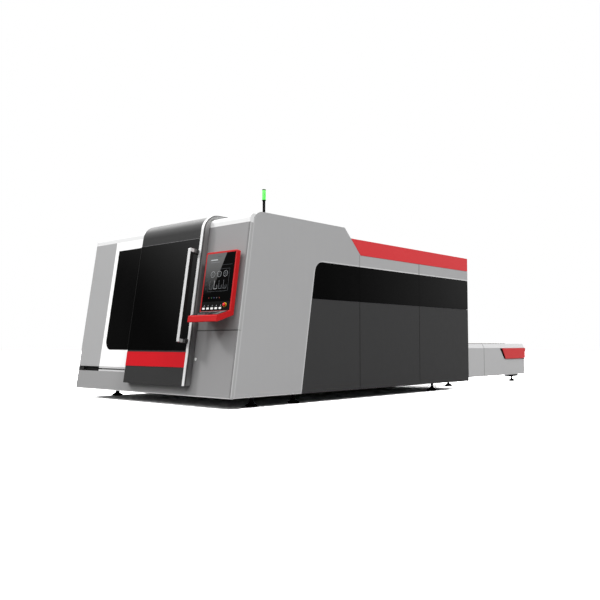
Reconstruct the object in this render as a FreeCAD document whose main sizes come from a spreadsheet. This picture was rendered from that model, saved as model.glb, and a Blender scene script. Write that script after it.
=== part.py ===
import FreeCAD, Part
import os
import re
import Sketcher
from FreeCAD import Placement, Rotation, Vector

# Fiber laser cutting machine with an exchange table.
# X runs across the machine, +X to the operator's right; Y runs from the operator's side to the
# exchange table; Z is up from the floor.  Lengths are millimetres.
# Most sizes along Y are counted from the cabin's front bottom edge and heights from the floor.
# The front wall leans back, so what is fixed to it is drawn in its own frame: across, up the wall
# from its bottom edge, and out of the wall.

SIZES = {
    # cabin
    "cabin_width": 3200,
    "cabin_length": 5320,
    "floor_gap": 131,
    "front_lean": 0.15,
    "panel_depth": 30,
    "front_depth": 56,
    "front_round": 8,
    "sheet_wall": 3,
    "seam_gap": 4,
    "tube_size": 60,
    # side walls
    "cheek_top": 2288,
    "cheek_setback": 57.6,
    "cheek_crest": 2050,
    "cheek_foot": 1188,
    "cheek_corner": 150,
    "divide_lean": 0.166,
    "divide_corner": 150,
    "first_seam": 2370,
    "second_seam": 3847,
    "band_low": 1309,
    "band_high": 1786,
    "beam_low": 1946,
    "beam_high": 2158,
    "roof_drop": 18,
    "roof_depth": 30,
    # front wall
    "plinth_top": 374,
    "track_slot": 63,
    "nose_low": 2150,
    "nose_fold": 2205,
    "hood_top": 2250,
    "nose_round": 60,
    "nose_back": 88,
    "nose_fold_depth": 57.75,
    "corner_slit": 4,
    "slit_inset": 8,
    "hood_inset": 54,
    "column_width": 516,
    "bay_width": 759,
    "service_top": 900,
    "window_inset": 81,
    "window_gap": 80,
    "window_low": 661,
    "window_high": 2028,
    "window_corner": 130,
    "window_pane": 10,
    "window_sink": 2,
    "pane_gap": 0.3,
    "doorway_inset": 46,
    "doorway_width": 1045,
    "doorway_low": 520,
    "doorway_high": 2030,
    # sliding door
    "door_lap": 61,
    "door_width": 1257,
    "door_low": 248,
    "door_top": 2309,
    "door_back": 760,
    "door_gap": 6,
    "door_face": 76,
    "door_round": 214,
    "door_inner_round": 62,
    "glass_low": 652,
    "glass_high": 2003,
    "glass_thick": 6,
    "light_rim": 40,
    "stripe_low": 452,
    "stripe_high": 631,
    "stripe_thick": 3,
    "strip_width": 62,
    "handle_low": 734,
    "handle_high": 1856,
    "handle_bar": 50,
    "handle_reach": 128,
    "handle_inset": 52,
    "track_width": 60,
    "track_height": 40,
    "track_wall": 6,
    "guide_gap": 0.3,
    "hanger_length": 140,
    "hanger_inset": 130,
    "track_lip": 22,
    "guide_arm": 7,
    # service cover
    "lock_inset": 98,
    "lock_height": 560,
    "lock_radius": 12,
    "lock_flange": 18,
    "lock_gap": 0.08,
    # console
    "console_inset": 55,
    "console_width": 535,
    "console_low": 940,
    "console_high": 1694,
    "console_stand": 36,
    "console_depth": 90,
    "console_round": 14,
    "console_corner": 20,
    "block_inset": 60,
    "block_low": 1000,
    "block_high": 1650,
    "tray_inset": 38,
    "tray_round": 8,
    "console_rim": 20,
    "tray_inner": 981,
    "tray_outer": 895,
    "tray_low": 818,
    "tray_stand": 280,
    "screen_low": 985,
    "screen_high": 1672,
    "screen_thick": 6,
    "keyboard_thick": 5,
    "keyboard_margin": 14,
    "key_count": 5,
    "key_first": 47,
    "key_pitch": 72,
    "key_wide": 40,
    "key_tall": 22,
    "key_height": 1016,
    "key_proud": 4,
    "key_deep": 18,
    "key_gap": 0.4,
    "well_deep": 30,
    "stop_offset": 430,
    "stop_height": 1050,
    "stop_stem": 11,
    "stop_head": 20,
    "stop_rise": 30,
    # signal lamp
    "lamp_inset": 100,
    "lamp_back": 628,
    "pole_radius": 11,
    "pole_flange": 30,
    "lamp_low": 2449,
    "lamp_high": 2589,
    "lamp_radius": 23.5,
    # rear wall
    "entry_half": 985,
    "entry_low": 355,
    "entry_high": 900,
    # machine bed and axes
    "bed_start": 1300,
    "bed_end": 5230,
    "bed_inner": 900,
    "bed_beam": 300,
    "bed_top": 900,
    "bed_sill": 220,
    "bed_flange": 200,
    "bed_post": 200,
    "bed_post_count": 6,
    "bed_cross": 120,
    "bed_rail_across": 1050,
    "bed_rail_wide": 34,
    "bed_rail_high": 30,
    "gantry_back": 1350,
    "gantry_length": 300,
    "gantry_foot": 70,
    "gantry_beam_deep": 200,
    "gantry_beam_high": 230,
    "gantry_overhang": 1230,
    "gantry_rail": 22,
    "motor_radius": 55,
    "motor_high": 190,
    "carriage_half": 130,
    "carriage_deep": 40,
    "carriage_gap": 0.3,
    "slide_half": 75,
    "slide_deep": 45,
    "slide_low": 985,
    "slide_high": 1420,
    "head_radius": 42,
    "head_tip": 862,
    "hopper_wall": 3,
    "source_inset": 90,
    "source_wide": 480,
    "source_long": 730,
    "source_high": 900,
    # exchange table
    "table_length": 3372,
    "table_beam_wide": 84,
    "table_side_top": 662,
    "table_top": 741,
    "table_lip": 40,
    "table_seam": 1652,
    "table_beam_top": 600,
    "cap_low": 449,
    "cap_high": 656,
    "cap_proud": 15,
    "cap_top_start": 2368,
    "cap_low_start": 2514,
    "cap_wrap": 420,
    "pallet_half": 800,
    "pallet_long": 3120,
    "pallet_start": 145,
    "pallet_tube": 60,
    "level_step": 200,
    "slat_top": 752,
    "slat_tall": 80,
    "slat_sink": 37,
    "slat_thick": 3,
    "slat_count": 26,
    "slat_teeth": 9,
    "tooth_deep": 18,
    "wheel_radius": 35,
    "wheel_wide": 25,
    "wheel_gap": 3,
    "wheel_inset": 420,
    "rail_shelf": 12,
    "rail_leg": 72,
    "rail_reach": 100,
    "rail_start": 1500,
    "pallet_travel": 3900,
    "sprocket_radius": 48,
    "sprocket_wide": 16,
    "shaft_radius": 18,
    "chain_thick": 10,
    "chain_wide": 12,
    "chain_across": 856,
    "chain_gap": 0.3,
    "drive_back": 52,
    "idler_stub": 836,
    "gearbox_half": 60,
    "gearbox_deep": 62,
    "gearbox_low": 440,
    "gearbox_high": 600,
    "shuttle_motor_radius": 29,
    "idler_front": 80,
    "drive_height": 534,
    # levelling feet
    "foot_radius": 75,
    "foot_disc": 22,
    "foot_cone": 26,
    "foot_neck": 26,
    "stud_radius": 14,
    "foot_inset": 215,
    "foot_row_one": 545,
    "foot_row_two": 1270,
    "foot_row_three": 4525,
    "table_foot_across": 978,
    "table_foot_radius": 62,
    "table_foot_one": 400,
    "table_foot_two": 2848,
    "bracket_long": 330,
    "bracket_wide": 130,
    "bracket_thick": 36,
}

document = FreeCAD.newDocument("laser_cutting_machine")
sheet = document.addObject("Spreadsheet::Sheet", "Sizes")
for row, (alias, value) in enumerate(SIZES.items(), start=1):
    sheet.set(f"A{row}", alias)
    sheet.set(f"B{row}", str(value))
    sheet.setAlias(f"B{row}", alias)
document.recompute()

ALIAS = re.compile(r"\b[a-z]+(?:_[a-z0-9]+)+\b")
AXES = {"XY": (0, 1, 2), "YZ": (1, 2, 0), "XZ": (0, 2, 1)}
kept = []


def formula(text):
    """The text with each size's name turned into its cell in the sheet."""
    return ALIAS.sub(lambda found: "Sizes." + found.group(0), text)


def size(text):
    """The value of a formula, in millimetres."""
    return float(sheet.evalExpression(formula(text)))


def bind(thing, path, text):
    thing.setExpression(path, formula(text))


def keep(thing, label):
    """Names a finished sub-part; its label is also the name of its file."""
    thing.Label = label
    kept.append(thing)
    return thing


# Places that several sub-parts share.

STRETCH = "sqrt(1+front_lean*front_lean)"
TRAY_RUN = "(tray_stand-console_stand)"
TRAY_FALL = "(console_low-tray_low)"
TRAY_BEND = f"(sqrt({TRAY_RUN}*{TRAY_RUN}+{TRAY_FALL}*{TRAY_FALL})+{TRAY_FALL})/{TRAY_RUN}"
TRAY_TIP = (f"(tray_round+(tray_stand-tray_round-(tray_low+tray_round*{TRAY_BEND})*front_lean)"
            f"/{STRETCH})")
ORIGIN_Y = f"-(cabin_length+table_length+cap_proud-{TRAY_TIP})/2"
INNER_X = "(cabin_width/2-panel_depth)"
BEAM_FRONT = "(cheek_crest+cheek_top-beam_low)"
ROOF_TOP = "(beam_high-roof_drop)"
COLUMN_EDGE = "(cabin_width/2-column_width)"
BAY_EDGE = "(cabin_width/2-bay_width)"
DOORWAY_RIGHT = f"({BAY_EDGE}-doorway_inset)"
DOORWAY_LEFT = f"({DOORWAY_RIGHT}-doorway_width)"
DOOR_RIGHT = f"({BAY_EDGE}+door_lap)"
DOOR_LEFT = f"({DOOR_RIGHT}-door_width)"
CONSOLE_RIGHT = "(cabin_width/2-console_inset)"
CONSOLE_LEFT = f"({CONSOLE_RIGHT}-console_width)"
TABLE_HALF = "(bed_inner+table_beam_wide+panel_depth)"


def wall_y(height, proud="0"):
    """How far back the front wall is at a height, or a face that stands proud of it."""
    return f"((({height})-floor_gap)*front_lean-({proud})*{STRETCH})"


def up_wall(height):
    """The distance up the leaning front wall that reaches a height."""
    return f"((({height})-floor_gap)*{STRETCH})"


def divide_y(height):
    """The slanted line where the side cheek ends and the dark panels begin."""
    return f"(cheek_foot+(({height})-floor_gap)*divide_lean)"


# Ways of making a sub-part.


def new_body(label, frame="floor"):
    """A body whose frame is the floor under the front edge, or the leaning front wall."""
    body = document.addObject("PartDesign::Body", label)
    body.Placement = Placement(Vector(0, 0, 0), Rotation(Vector(1, 0, 0), 1))
    if frame == "wall":
        bind(body, "Placement.Rotation.Angle", "90deg-atan(front_lean)")
        bind(body, "Placement.Base.z", "floor_gap")
    else:
        body.Placement = Placement()
    bind(body, "Placement.Base.y", ORIGIN_Y)
    return body


def new_sketch(body, plane, offset="0"):
    sketch = body.newObject("Sketcher::SketchObject", body.Name + "_outline")
    role = plane + "_Plane"
    support = [entry for entry in body.Origin.OriginFeatures if entry.Role == role][0]
    sketch.AttachmentSupport = [(support, "")]
    sketch.MapMode = "FlatFace"
    bind(sketch, "AttachmentOffset.Base.z", offset)
    return sketch


def add_outline(sketch, points):
    """A closed outline of straight edges, each corner held by its two distances."""
    values = [Vector(size(across), size(up), 0) for across, up in points]
    count = len(points)
    first = sketch.GeometryCount
    for index in range(count):
        sketch.addGeometry(Part.LineSegment(values[index], values[(index + 1) % count]))
    for index in range(count):
        following = first + (index + 1) % count
        sketch.addConstraint(Sketcher.Constraint("Coincident", first + index, 2, following, 1))
    for index, (across, up) in enumerate(points):
        for kind, text, value in (("DistanceX", across, values[index].x),
                                  ("DistanceY", up, values[index].y)):
            held = Sketcher.Constraint(kind, -1, 1, first + index, 1, value)
            number = sketch.addConstraint(held)
            bind(sketch, f"Constraints[{number}]", text)


def add_circle(sketch, across, up, radius):
    centre = Vector(size(across), size(up), 0)
    circle = sketch.addGeometry(Part.Circle(centre, Vector(0, 0, 1), size(radius)))
    held = (
        (Sketcher.Constraint("DistanceX", -1, 1, circle, 3, centre.x), across),
        (Sketcher.Constraint("DistanceY", -1, 1, circle, 3, centre.y), up),
        (Sketcher.Constraint("Radius", circle, size(radius)), radius),
    )
    for constraint, text in held:
        number = sketch.addConstraint(constraint)
        bind(sketch, f"Constraints[{number}]", text)


def rectangle(left, right, low, high):
    return [(left, low), (right, low), (right, high), (left, high)]


def pad(body, plane, loops, start, length, circles=()):
    """Adds an extrusion of an outline, from start along the plane's own normal."""
    sketch = new_sketch(body, plane, start)
    for loop in loops:
        add_outline(sketch, loop)
    for circle in circles:
        add_circle(sketch, *circle)
    feature = body.newObject("PartDesign::Pad", body.Name + "_pad")
    feature.Profile = sketch
    bind(feature, "Length", length)
    sketch.Visibility = False
    document.recompute()
    return feature


def pocket(body, plane, loops, start, depth, circles=()):
    """Cuts an outline out of a body, from start against the plane's own normal."""
    sketch = new_sketch(body, plane, start)
    for loop in loops:
        add_outline(sketch, loop)
    for circle in circles:
        add_circle(sketch, *circle)
    before = body.Shape.Volume
    feature = body.newObject("PartDesign::Pocket", body.Name + "_pocket")
    feature.Profile = sketch
    bind(feature, "Length", depth)
    document.recompute()
    if body.Shape.Volume > before - 1:
        raise ValueError(f"{body.Label}: a pocket cuts nothing")
    return feature


def long_edges(body, plane, corners):
    """The edges along a plane's normal that pass through the given corners."""
    across, up, along = AXES[plane]
    places = [(size(first), size(second)) for first, second in corners]
    found = []
    for number, edge in enumerate(body.Tip.Shape.Edges, start=1):
        ends = [vertex.Point for vertex in edge.Vertexes]
        if len(ends) != 2 or abs(ends[0][along] - ends[1][along]) < 1:
            continue
        for first, second in places:
            if all(abs(end[across] - first) + abs(end[up] - second) < 0.01 for end in ends):
                found.append(f"Edge{number}")
    return found


def round_off(body, plane, corners, radius):
    """Rounds the corners of an extruded outline."""
    edges = long_edges(body, plane, corners)
    base = body.Tip
    feature = body.newObject("PartDesign::Fillet", body.Name + "_round")
    feature.Base = (base, edges)
    bind(feature, "Radius", radius)
    document.recompute()
    return feature


def hollow(body, plane, side, wall="sheet_wall"):
    """Folds a plate into a tray: a skin with returns, open on its low or high side."""
    along = AXES[plane][2]
    base = body.Tip
    places = [face.CenterOfMass[along] for face in base.Shape.Faces]
    wanted = min(places) if side == "low" else max(places)
    faces = [f"Face{number}" for number, place in enumerate(places, start=1)
             if abs(place - wanted) < 0.001]
    feature = body.newObject("PartDesign::Thickness", body.Name + "_folded")
    feature.Base = (base, faces)
    bind(feature, "Value", wall)
    feature.Reversed = True
    feature.Mode = 0
    feature.Join = 1
    document.recompute()
    return feature


def side_plate(label, points, corners=(), depth="panel_depth"):
    """A folded tray in the right-hand side wall, its skin flush with the cabin's side."""
    body = new_body(label)
    pad(body, "YZ", [points], f"cabin_width/2-{depth}", depth)
    for corner, radius in corners:
        round_off(body, "YZ", [corner], radius)
    hollow(body, "YZ", "low")
    return body


def wall_plate(label, loops, corners=(), rolled=()):
    """A folded tray in the leaning front wall, rolled round where it ends the wall."""
    body = new_body(label, "wall")
    pad(body, "XY", loops, "-front_depth", "front_depth")
    for corner, radius in corners:
        round_off(body, "XY", [corner], radius)
    for edge in rolled:
        round_off(body, "XZ", [(edge, "0")], "front_round")
    hollow(body, "XY", "low")
    return body


def block(name, left, right, front, back, low, high):
    """A plain bar, with its length across, along and up given by its limits."""
    box = document.addObject("Part::Box", name)
    bind(box, "Length", f"({right})-({left})")
    bind(box, "Width", f"({back})-({front})")
    bind(box, "Height", f"({high})-({low})")
    bind(box, "Placement.Base.x", left)
    bind(box, "Placement.Base.y", f"{ORIGIN_Y}+({front})")
    bind(box, "Placement.Base.z", low)
    return box


def mirrored(name, source):
    """The left-hand twin of a right-hand piece."""
    twin = document.addObject("Part::Mirroring", name)
    twin.Source = source
    twin.Normal = Vector(1, 0, 0)
    return twin


def group(name, pieces):
    """Separate solids that share one node."""
    compound = document.addObject("Part::Compound", name)
    compound.Links = pieces
    return compound


def keep_pair(right_piece, name):
    """Keeps a right-hand piece and its mirrored twin, each under its own name."""
    keep(right_piece, "right_" + name)
    keep(mirrored("left_" + name, right_piece), "left_" + name)


# Side walls: the light cheek that wraps the operator's end, three dark panels with a glossy band
# over them, two light strips and the red roof beam.

HALF_SEAM = "seam_gap/2"
cheek_corner_point = ("cheek_setback+(cheek_top-floor_gap)*front_lean", "cheek_top")
divide_corner_point = (divide_y("band_high"), "band_high")
cheek = side_plate("right_cheek", [
    ("cheek_setback", "floor_gap"),
    ("cheek_foot", "floor_gap"),
    divide_corner_point,
    ("first_seam", "band_high"),
    ("first_seam", "beam_low"),
    (BEAM_FRONT, "beam_low"),
    ("cheek_crest", "cheek_top"),
    cheek_corner_point,
], [(cheek_corner_point, "cheek_corner"), (divide_corner_point, "divide_corner")])
keep_pair(cheek, "cheek")

lower_top = f"band_low-{HALF_SEAM}"
front_panel_side = side_plate("lower_panel_front", [
    ("cheek_foot+seam_gap", "floor_gap"),
    (f"first_seam-{HALF_SEAM}", "floor_gap"),
    (f"first_seam-{HALF_SEAM}", lower_top),
    (divide_y(lower_top) + "+seam_gap", lower_top),
])
middle_panel_side = side_plate("lower_panel_middle", rectangle(
    f"first_seam+{HALF_SEAM}", f"second_seam-{HALF_SEAM}", "floor_gap", lower_top))
rear_panel_side = side_plate("lower_panel_rear", rectangle(
    f"second_seam+{HALF_SEAM}", "cabin_length", "floor_gap", lower_top))
keep_pair(group("lower_panels", [front_panel_side, middle_panel_side, rear_panel_side]),
          "lower_panels")

band_low = f"band_low+{HALF_SEAM}"
band_high = "band_high-seam_gap"
band_corner_point = (divide_y(band_high) + "+seam_gap", band_high)
band_front = side_plate("band_front", [
    (divide_y(band_low) + "+seam_gap", band_low),
    (f"first_seam-{HALF_SEAM}", band_low),
    (f"first_seam-{HALF_SEAM}", band_high),
    band_corner_point,
], [(band_corner_point, "divide_corner-seam_gap")])
band_middle = side_plate("band_middle", rectangle(
    f"first_seam+{HALF_SEAM}", f"second_seam-{HALF_SEAM}", band_low, band_high))
band_rear = side_plate("band_rear", rectangle(
    f"second_seam+{HALF_SEAM}", "cabin_length", band_low, band_high))
keep_pair(group("window_band", [band_front, band_middle, band_rear]), "window_band")

strip_low = "band_high"
strip_high = f"beam_low-{HALF_SEAM}"
strip_middle = side_plate("strip_middle", rectangle(
    "first_seam+seam_gap", f"second_seam-{HALF_SEAM}", strip_low, strip_high))
strip_rear = side_plate("strip_rear", rectangle(
    f"second_seam+{HALF_SEAM}", "cabin_length", strip_low, strip_high))
strips_right = group("strips_right", [strip_middle, strip_rear])
strips_left = mirrored("strips_left", strips_right)
keep(group("upper_strips", [strips_right, strips_left]), "upper_strips")

roof_beam = side_plate("right_roof_beam", [
    (f"{BEAM_FRONT}+seam_gap", f"beam_low+{HALF_SEAM}"),
    ("cabin_length", f"beam_low+{HALF_SEAM}"),
    ("cabin_length", "beam_high"),
    (f"{BEAM_FRONT}+seam_gap-(beam_high-beam_low)", "beam_high"),
])
keep_pair(roof_beam, "roof_beam")

# Front wall: the plinth, the left column, the white panel with its window and doorway, and the
# bay on the right with the console panel over the service cover.

left_edge = "-cabin_width/2"
right_edge = "cabin_width/2"
keep(wall_plate("front_plinth", [rectangle(
    left_edge, f"{BAY_EDGE}-{HALF_SEAM}", "0", up_wall("plinth_top"))], rolled=[left_edge]),
    "front_plinth")

upper_low = up_wall("plinth_top+track_slot")
upper_high = up_wall("nose_low-pane_gap")
keep(wall_plate("front_column", [rectangle(
    left_edge, f"-{COLUMN_EDGE}-{HALF_SEAM}", upper_low, upper_high)], rolled=[left_edge]),
    "front_column")

window_left = f"-{COLUMN_EDGE}+window_inset"
window_right = f"{DOORWAY_LEFT}-window_gap"
window_corners = [(window_left, up_wall("window_low"))]
window_hole = rectangle(window_left, window_right, up_wall("window_low"), up_wall("window_high"))
doorway_hole = rectangle(DOORWAY_LEFT, DOORWAY_RIGHT, up_wall("doorway_low"),
                         up_wall("doorway_high"))
front_panel = wall_plate("front_panel", [
    rectangle(f"-{COLUMN_EDGE}+{HALF_SEAM}", f"{BAY_EDGE}-{HALF_SEAM}", upper_low, upper_high),
    window_hole,
    doorway_hole,
], [(window_corners[0], "window_corner")])
keep(front_panel, "front_panel")

window = new_body("front_window", "wall")
pane_left = f"{window_left}+pane_gap"
pane_low = up_wall("window_low") + "+pane_gap"
pad(window, "XY", [rectangle(pane_left, f"{window_right}-pane_gap", pane_low,
                             up_wall("window_high") + "-pane_gap")],
    "-window_sink-window_pane", "window_pane")
round_off(window, "XY", [(pane_left, pane_low)], "window_corner-pane_gap")
keep(window, "front_window")



def corner_slit(body, low, high):
    """A narrow slot in a plate's skin beside the right edge, short of the plate's returns."""
    right = "cabin_width/2-slit_inset"
    pocket(body, "XY", [rectangle(f"{right}-corner_slit", right, f"{low}+2*sheet_wall",
                                  f"{high}-2*sheet_wall")], "0", "sheet_wall+1")


console_panel_low = up_wall("service_top") + f"+{HALF_SEAM}"
console_panel = wall_plate("console_panel", [rectangle(
    f"{BAY_EDGE}+{HALF_SEAM}", right_edge, console_panel_low, upper_high)], rolled=[right_edge])
corner_slit(console_panel, console_panel_low, upper_high)
keep(console_panel, "console_panel")

# Hood: the rounded nose over the whole front, then the roof sheet between the cheeks, which
# folds down behind them to the lower rear roof.

nose_end = wall_y("hood_top") + "+nose_back"


def nose_block(name, proud, corner_round, lip, back):
    """The nose's form, proud being negative for its hollow: its section and its rolled ends."""
    low = f"nose_low+{lip}"
    high = f"hood_top-{lip}"
    top_front = (wall_y(high, proud), high)
    section = new_body(name + "_section")
    pad(section, "YZ", [[(wall_y(low, proud), low)] + back + [top_front]],
        f"-cabin_width/2+{lip}", f"cabin_width-2*{lip}")
    round_off(section, "YZ", [top_front], f"nose_round-{lip}")
    plan = new_body(name + "_plan", "wall")
    pad(plan, "XZ", [rectangle(f"-cabin_width/2+{lip}", f"cabin_width/2-{lip}",
                               "-4*front_depth", proud)],
        f"-{up_wall('hood_top')}-front_depth", f"{up_wall('hood_top')}")
    round_off(plan, "XZ", [(f"-cabin_width/2+{lip}", proud), (f"cabin_width/2-{lip}", proud)],
              corner_round)
    common = document.addObject("Part::MultiCommon", name)
    common.Shapes = [section, plan]
    return common


nose_outside = nose_block("nose_outside", "0", "front_round", "0", [
    (f"{wall_y('nose_low')}+front_depth/{STRETCH}", f"nose_low-front_depth*front_lean/{STRETCH}"),
    (wall_y("nose_fold", "-nose_fold_depth"), "nose_fold"),
    (nose_end, "hood_top"),
])
nose_inside = nose_block("nose_inside", "-sheet_wall", "front_round-sheet_wall", "sheet_wall", [
    (f"{nose_end}+front_depth", "nose_low+sheet_wall"),
    (f"{nose_end}+front_depth", "hood_top-sheet_wall"),
])
nose = document.addObject("Part::Cut", "nose")
nose.Base = nose_outside
nose.Tool = nose_inside

hood_sheet = new_body("hood_sheet")
fold_line = "cheek_crest+cheek_top-hood_inset"
sheet_front = f"{nose_end}-2*sheet_wall"
pad(hood_sheet, "YZ", [[
    (sheet_front, "hood_top-sheet_wall"),
    (f"{fold_line}-hood_top-sheet_wall*0.414", "hood_top-sheet_wall"),
    (f"{fold_line}-{ROOF_TOP}-sheet_wall*1.414", ROOF_TOP),
    (f"{fold_line}-{ROOF_TOP}", ROOF_TOP),
    (f"{fold_line}-hood_top", "hood_top"),
    (sheet_front, "hood_top"),
]], f"-{INNER_X}", f"2*{INNER_X}")
hood = document.addObject("Part::MultiFuse", "hood")
hood.Shapes = [nose, hood_sheet]
hood.Refine = True
keep(hood, "front_hood")


def roof_tray(name, front, back):
    body = new_body(name)
    pad(body, "XY", [rectangle(f"-{INNER_X}", INNER_X, front, back)],
        f"{ROOF_TOP}-roof_depth", "roof_depth")
    hollow(body, "XY", "low")
    return body


roof_start = f"{fold_line}-{ROOF_TOP}+pane_gap"
roof_trays = [
    roof_tray("roof_front", roof_start, f"second_seam-{HALF_SEAM}"),
    roof_tray("roof_rear", f"second_seam+{HALF_SEAM}", "cabin_length"),
]
keep(group("roof_panels", roof_trays), "roof_panels")

# Rear wall with the entry for the pallets.

rear_wall = new_body("rear_wall")
pad(rear_wall, "XZ", [
    rectangle(f"-{INNER_X}", INNER_X, "floor_gap", f"{ROOF_TOP}-roof_depth"),
    rectangle("-entry_half", "entry_half", "entry_low", "entry_high"),
], "-cabin_length", "panel_depth")
hollow(rear_wall, "XZ", "low")
keep(rear_wall, "rear_wall")

# Enclosure frame: square tubes behind the panels, welded at their ends.

TUBE_IN = f"({INNER_X}-tube_size)"
RAIL_LOW = "floor_gap+10"
RAIL_TOP = "(floor_gap+10+tube_size)"
REAR_IN = "(cabin_length-panel_depth)"
FRAME_TOP = f"({ROOF_TOP}-roof_depth)"
HOOD_UNDER = "(hood_top-sheet_wall)"


def side_tube(name, front, back, low):
    return block(name, TUBE_IN, INNER_X, front, back, low, f"{low}+tube_size")


def side_post(name, middle, top):
    return block(name, f"{TUBE_IN}-tube_size", TUBE_IN, f"{middle}-tube_size/2",
                 f"{middle}+tube_size/2", RAIL_TOP, top)


def wall_post(name, left, top):
    """A front post, parallel to the leaning wall and against its returns."""
    body = new_body(name, "wall")
    foot_height = up_wall(RAIL_TOP) + "+(front_depth+tube_size)*front_lean"
    pad(body, "XY", [rectangle(left, f"{left}+tube_size", foot_height, up_wall(top))],
        "-front_depth-tube_size", "tube_size")
    return body


frame_right = [
    side_tube("sill_tube", "100", REAR_IN, RAIL_LOW),
    side_tube("waist_tube", f"{divide_y('band_low')}-150", REAR_IN, "band_low-tube_size/2"),
    side_tube("chest_tube", f"{divide_y('band_high')}-150", REAR_IN, "band_high-tube_size/2"),
    side_tube("beam_tube", f"{BEAM_FRONT}-40", REAR_IN, "beam_low-tube_size/2"),
    side_tube("roof_tube", f"{fold_line}-{ROOF_TOP}+20", REAR_IN, f"{FRAME_TOP}-tube_size"),
    side_tube("hood_tube", "420", "cheek_crest-80", f"{HOOD_UNDER}-tube_size"),
    side_post("seam_post", "first_seam", FRAME_TOP),
    side_post("middle_post", "second_seam", FRAME_TOP),
    side_post("rear_post", f"{REAR_IN}-tube_size/2", FRAME_TOP),
    side_post("cheek_post", "first_seam-500", HOOD_UNDER),
    wall_post("corner_post", TUBE_IN, "nose_low-60"),
]
cross_rows = {
    "cross_one": "foot_row_one",
    "cross_two": "foot_row_two",
    "cross_three": "second_seam-900",
    "cross_four": "foot_row_three",
}
cross_tubes = [
    block(name, f"-{TUBE_IN}", TUBE_IN, f"{row}-tube_size/2", f"{row}+tube_size/2",
          RAIL_LOW, RAIL_TOP)
    for name, row in cross_rows.items()
]
roof_cross = block("roof_cross", f"-{TUBE_IN}+tube_size", f"{TUBE_IN}-tube_size",
                   "second_seam-tube_size/2", "second_seam+tube_size/2",
                   f"{FRAME_TOP}-tube_size", FRAME_TOP)
hood_cross = block("hood_cross", f"-{TUBE_IN}", TUBE_IN, "cheek_crest-80-tube_size",
                   "cheek_crest-80", f"{HOOD_UNDER}-tube_size", HOOD_UNDER)
front_cross = block("front_cross", f"-{TUBE_IN}", TUBE_IN, "100", "100+tube_size",
                    RAIL_LOW, RAIL_TOP)
bay_posts = [
    wall_post("column_post", f"-{COLUMN_EDGE}-tube_size/2", "nose_low-60"),
    wall_post("bay_post", f"{BAY_EDGE}-tube_size/2+6", "nose_low-60"),
]
frame_half = group("frame_half", frame_right)
frame_twin = mirrored("frame_twin", frame_half)
keep(group("enclosure_frame", [frame_half, frame_twin, roof_cross, hood_cross, front_cross]
           + cross_tubes + bay_posts), "enclosure_frame")

# Door tracks: a flat bar on the roof behind the door, and a channel in the slot over the plinth.

upper_track = block("upper_track", f"-{INNER_X}", f"{DOOR_RIGHT}+40", "door_back+20",
                    "door_back+20+track_width", "hood_top", "hood_top+track_height")
lower_track = new_body("lower_track", "wall")
slot_low = up_wall("plinth_top") + "+1"
slot_high = up_wall("plinth_top+track_slot") + "-1"
track_left = f"-{COLUMN_EDGE}-400"
track_length = f"400+{COLUMN_EDGE}+{BAY_EDGE}-6"
pad(lower_track, "YZ", [rectangle(slot_low, slot_high, "-front_depth",
                                  "-front_depth+track_wall")], track_left, track_length)
lip_left = f"-{COLUMN_EDGE}"
lip_length = f"{COLUMN_EDGE}+{BAY_EDGE}-6"
for low, high in ((slot_low, f"{slot_low}+track_lip"), (f"{slot_high}-track_lip", slot_high)):
    pad(lower_track, "YZ", [rectangle(low, high, "-front_depth+track_wall", "-2")],
        lip_left, lip_length)
keep(group("door_tracks", [upper_track, lower_track]), "door_tracks")

# Sliding door: one folded shell that covers the front and bends over the roof, with a dark
# glass, a red stripe, a bright edge strip and a square bar handle.

DOOR_ROOF_IN = "(hood_top+door_gap)"


def door_point(height, proud):
    return (wall_y(height, proud), height)


door_skin = new_body("door_skin")
flank = [
    door_point("door_low", "door_face"),
    door_point("door_low", "door_gap"),
    door_point(DOOR_ROOF_IN, "door_gap"),
    ("door_back", DOOR_ROOF_IN),
    ("door_back", "door_top"),
    door_point("door_top", "door_face"),
]
skin_inside = "door_face-sheet_wall"
skin = [
    door_point("door_low", "door_face"),
    door_point("door_low", "door_gap"),
    door_point("door_low+sheet_wall", "door_gap"),
    door_point("door_low+sheet_wall", skin_inside),
    door_point("door_top-sheet_wall", skin_inside),
    ("door_back-sheet_wall", "door_top-sheet_wall"),
    ("door_back-sheet_wall", DOOR_ROOF_IN),
    ("door_back", DOOR_ROOF_IN),
    ("door_back", "door_top"),
    door_point("door_top", "door_face"),
]
pad(door_skin, "YZ", [skin], DOOR_LEFT, "door_width")
round_off(door_skin, "YZ", [door_point("door_top", "door_face")], "door_round")
round_off(door_skin, "YZ", [door_point("door_top-sheet_wall", skin_inside)],
          "door_round-sheet_wall")


def door_flank(name, start):
    """An end plate of the door, cut to the same bend as its skin."""
    body = new_body(name)
    pad(body, "YZ", [flank], start, "sheet_wall")
    round_off(body, "YZ", [door_point("door_top", "door_face")], "door_round")
    round_off(body, "YZ", [door_point(DOOR_ROOF_IN, "door_gap")], "door_inner_round")
    return body


light_tool = new_body("door_light", "wall")
pad(light_tool, "XY", [rectangle(
    f"{DOOR_LEFT}+light_rim", f"{DOOR_RIGHT}-strip_width-light_rim",
    up_wall("glass_low") + "+light_rim", up_wall("glass_high") + "-light_rim")],
    "door_face-20", "40")
shell_whole = document.addObject("Part::MultiFuse", "door_shell_whole")
shell_whole.Shapes = [door_skin, door_flank("door_left_flank", DOOR_LEFT),
                      door_flank("door_right_flank", f"{DOOR_RIGHT}-sheet_wall")]
shell_whole.Refine = True
shell_cut = document.addObject("Part::Cut", "door_shell_cut")
shell_cut.Base = shell_whole
shell_cut.Tool = light_tool
keep(shell_cut, "door_shell")

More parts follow.
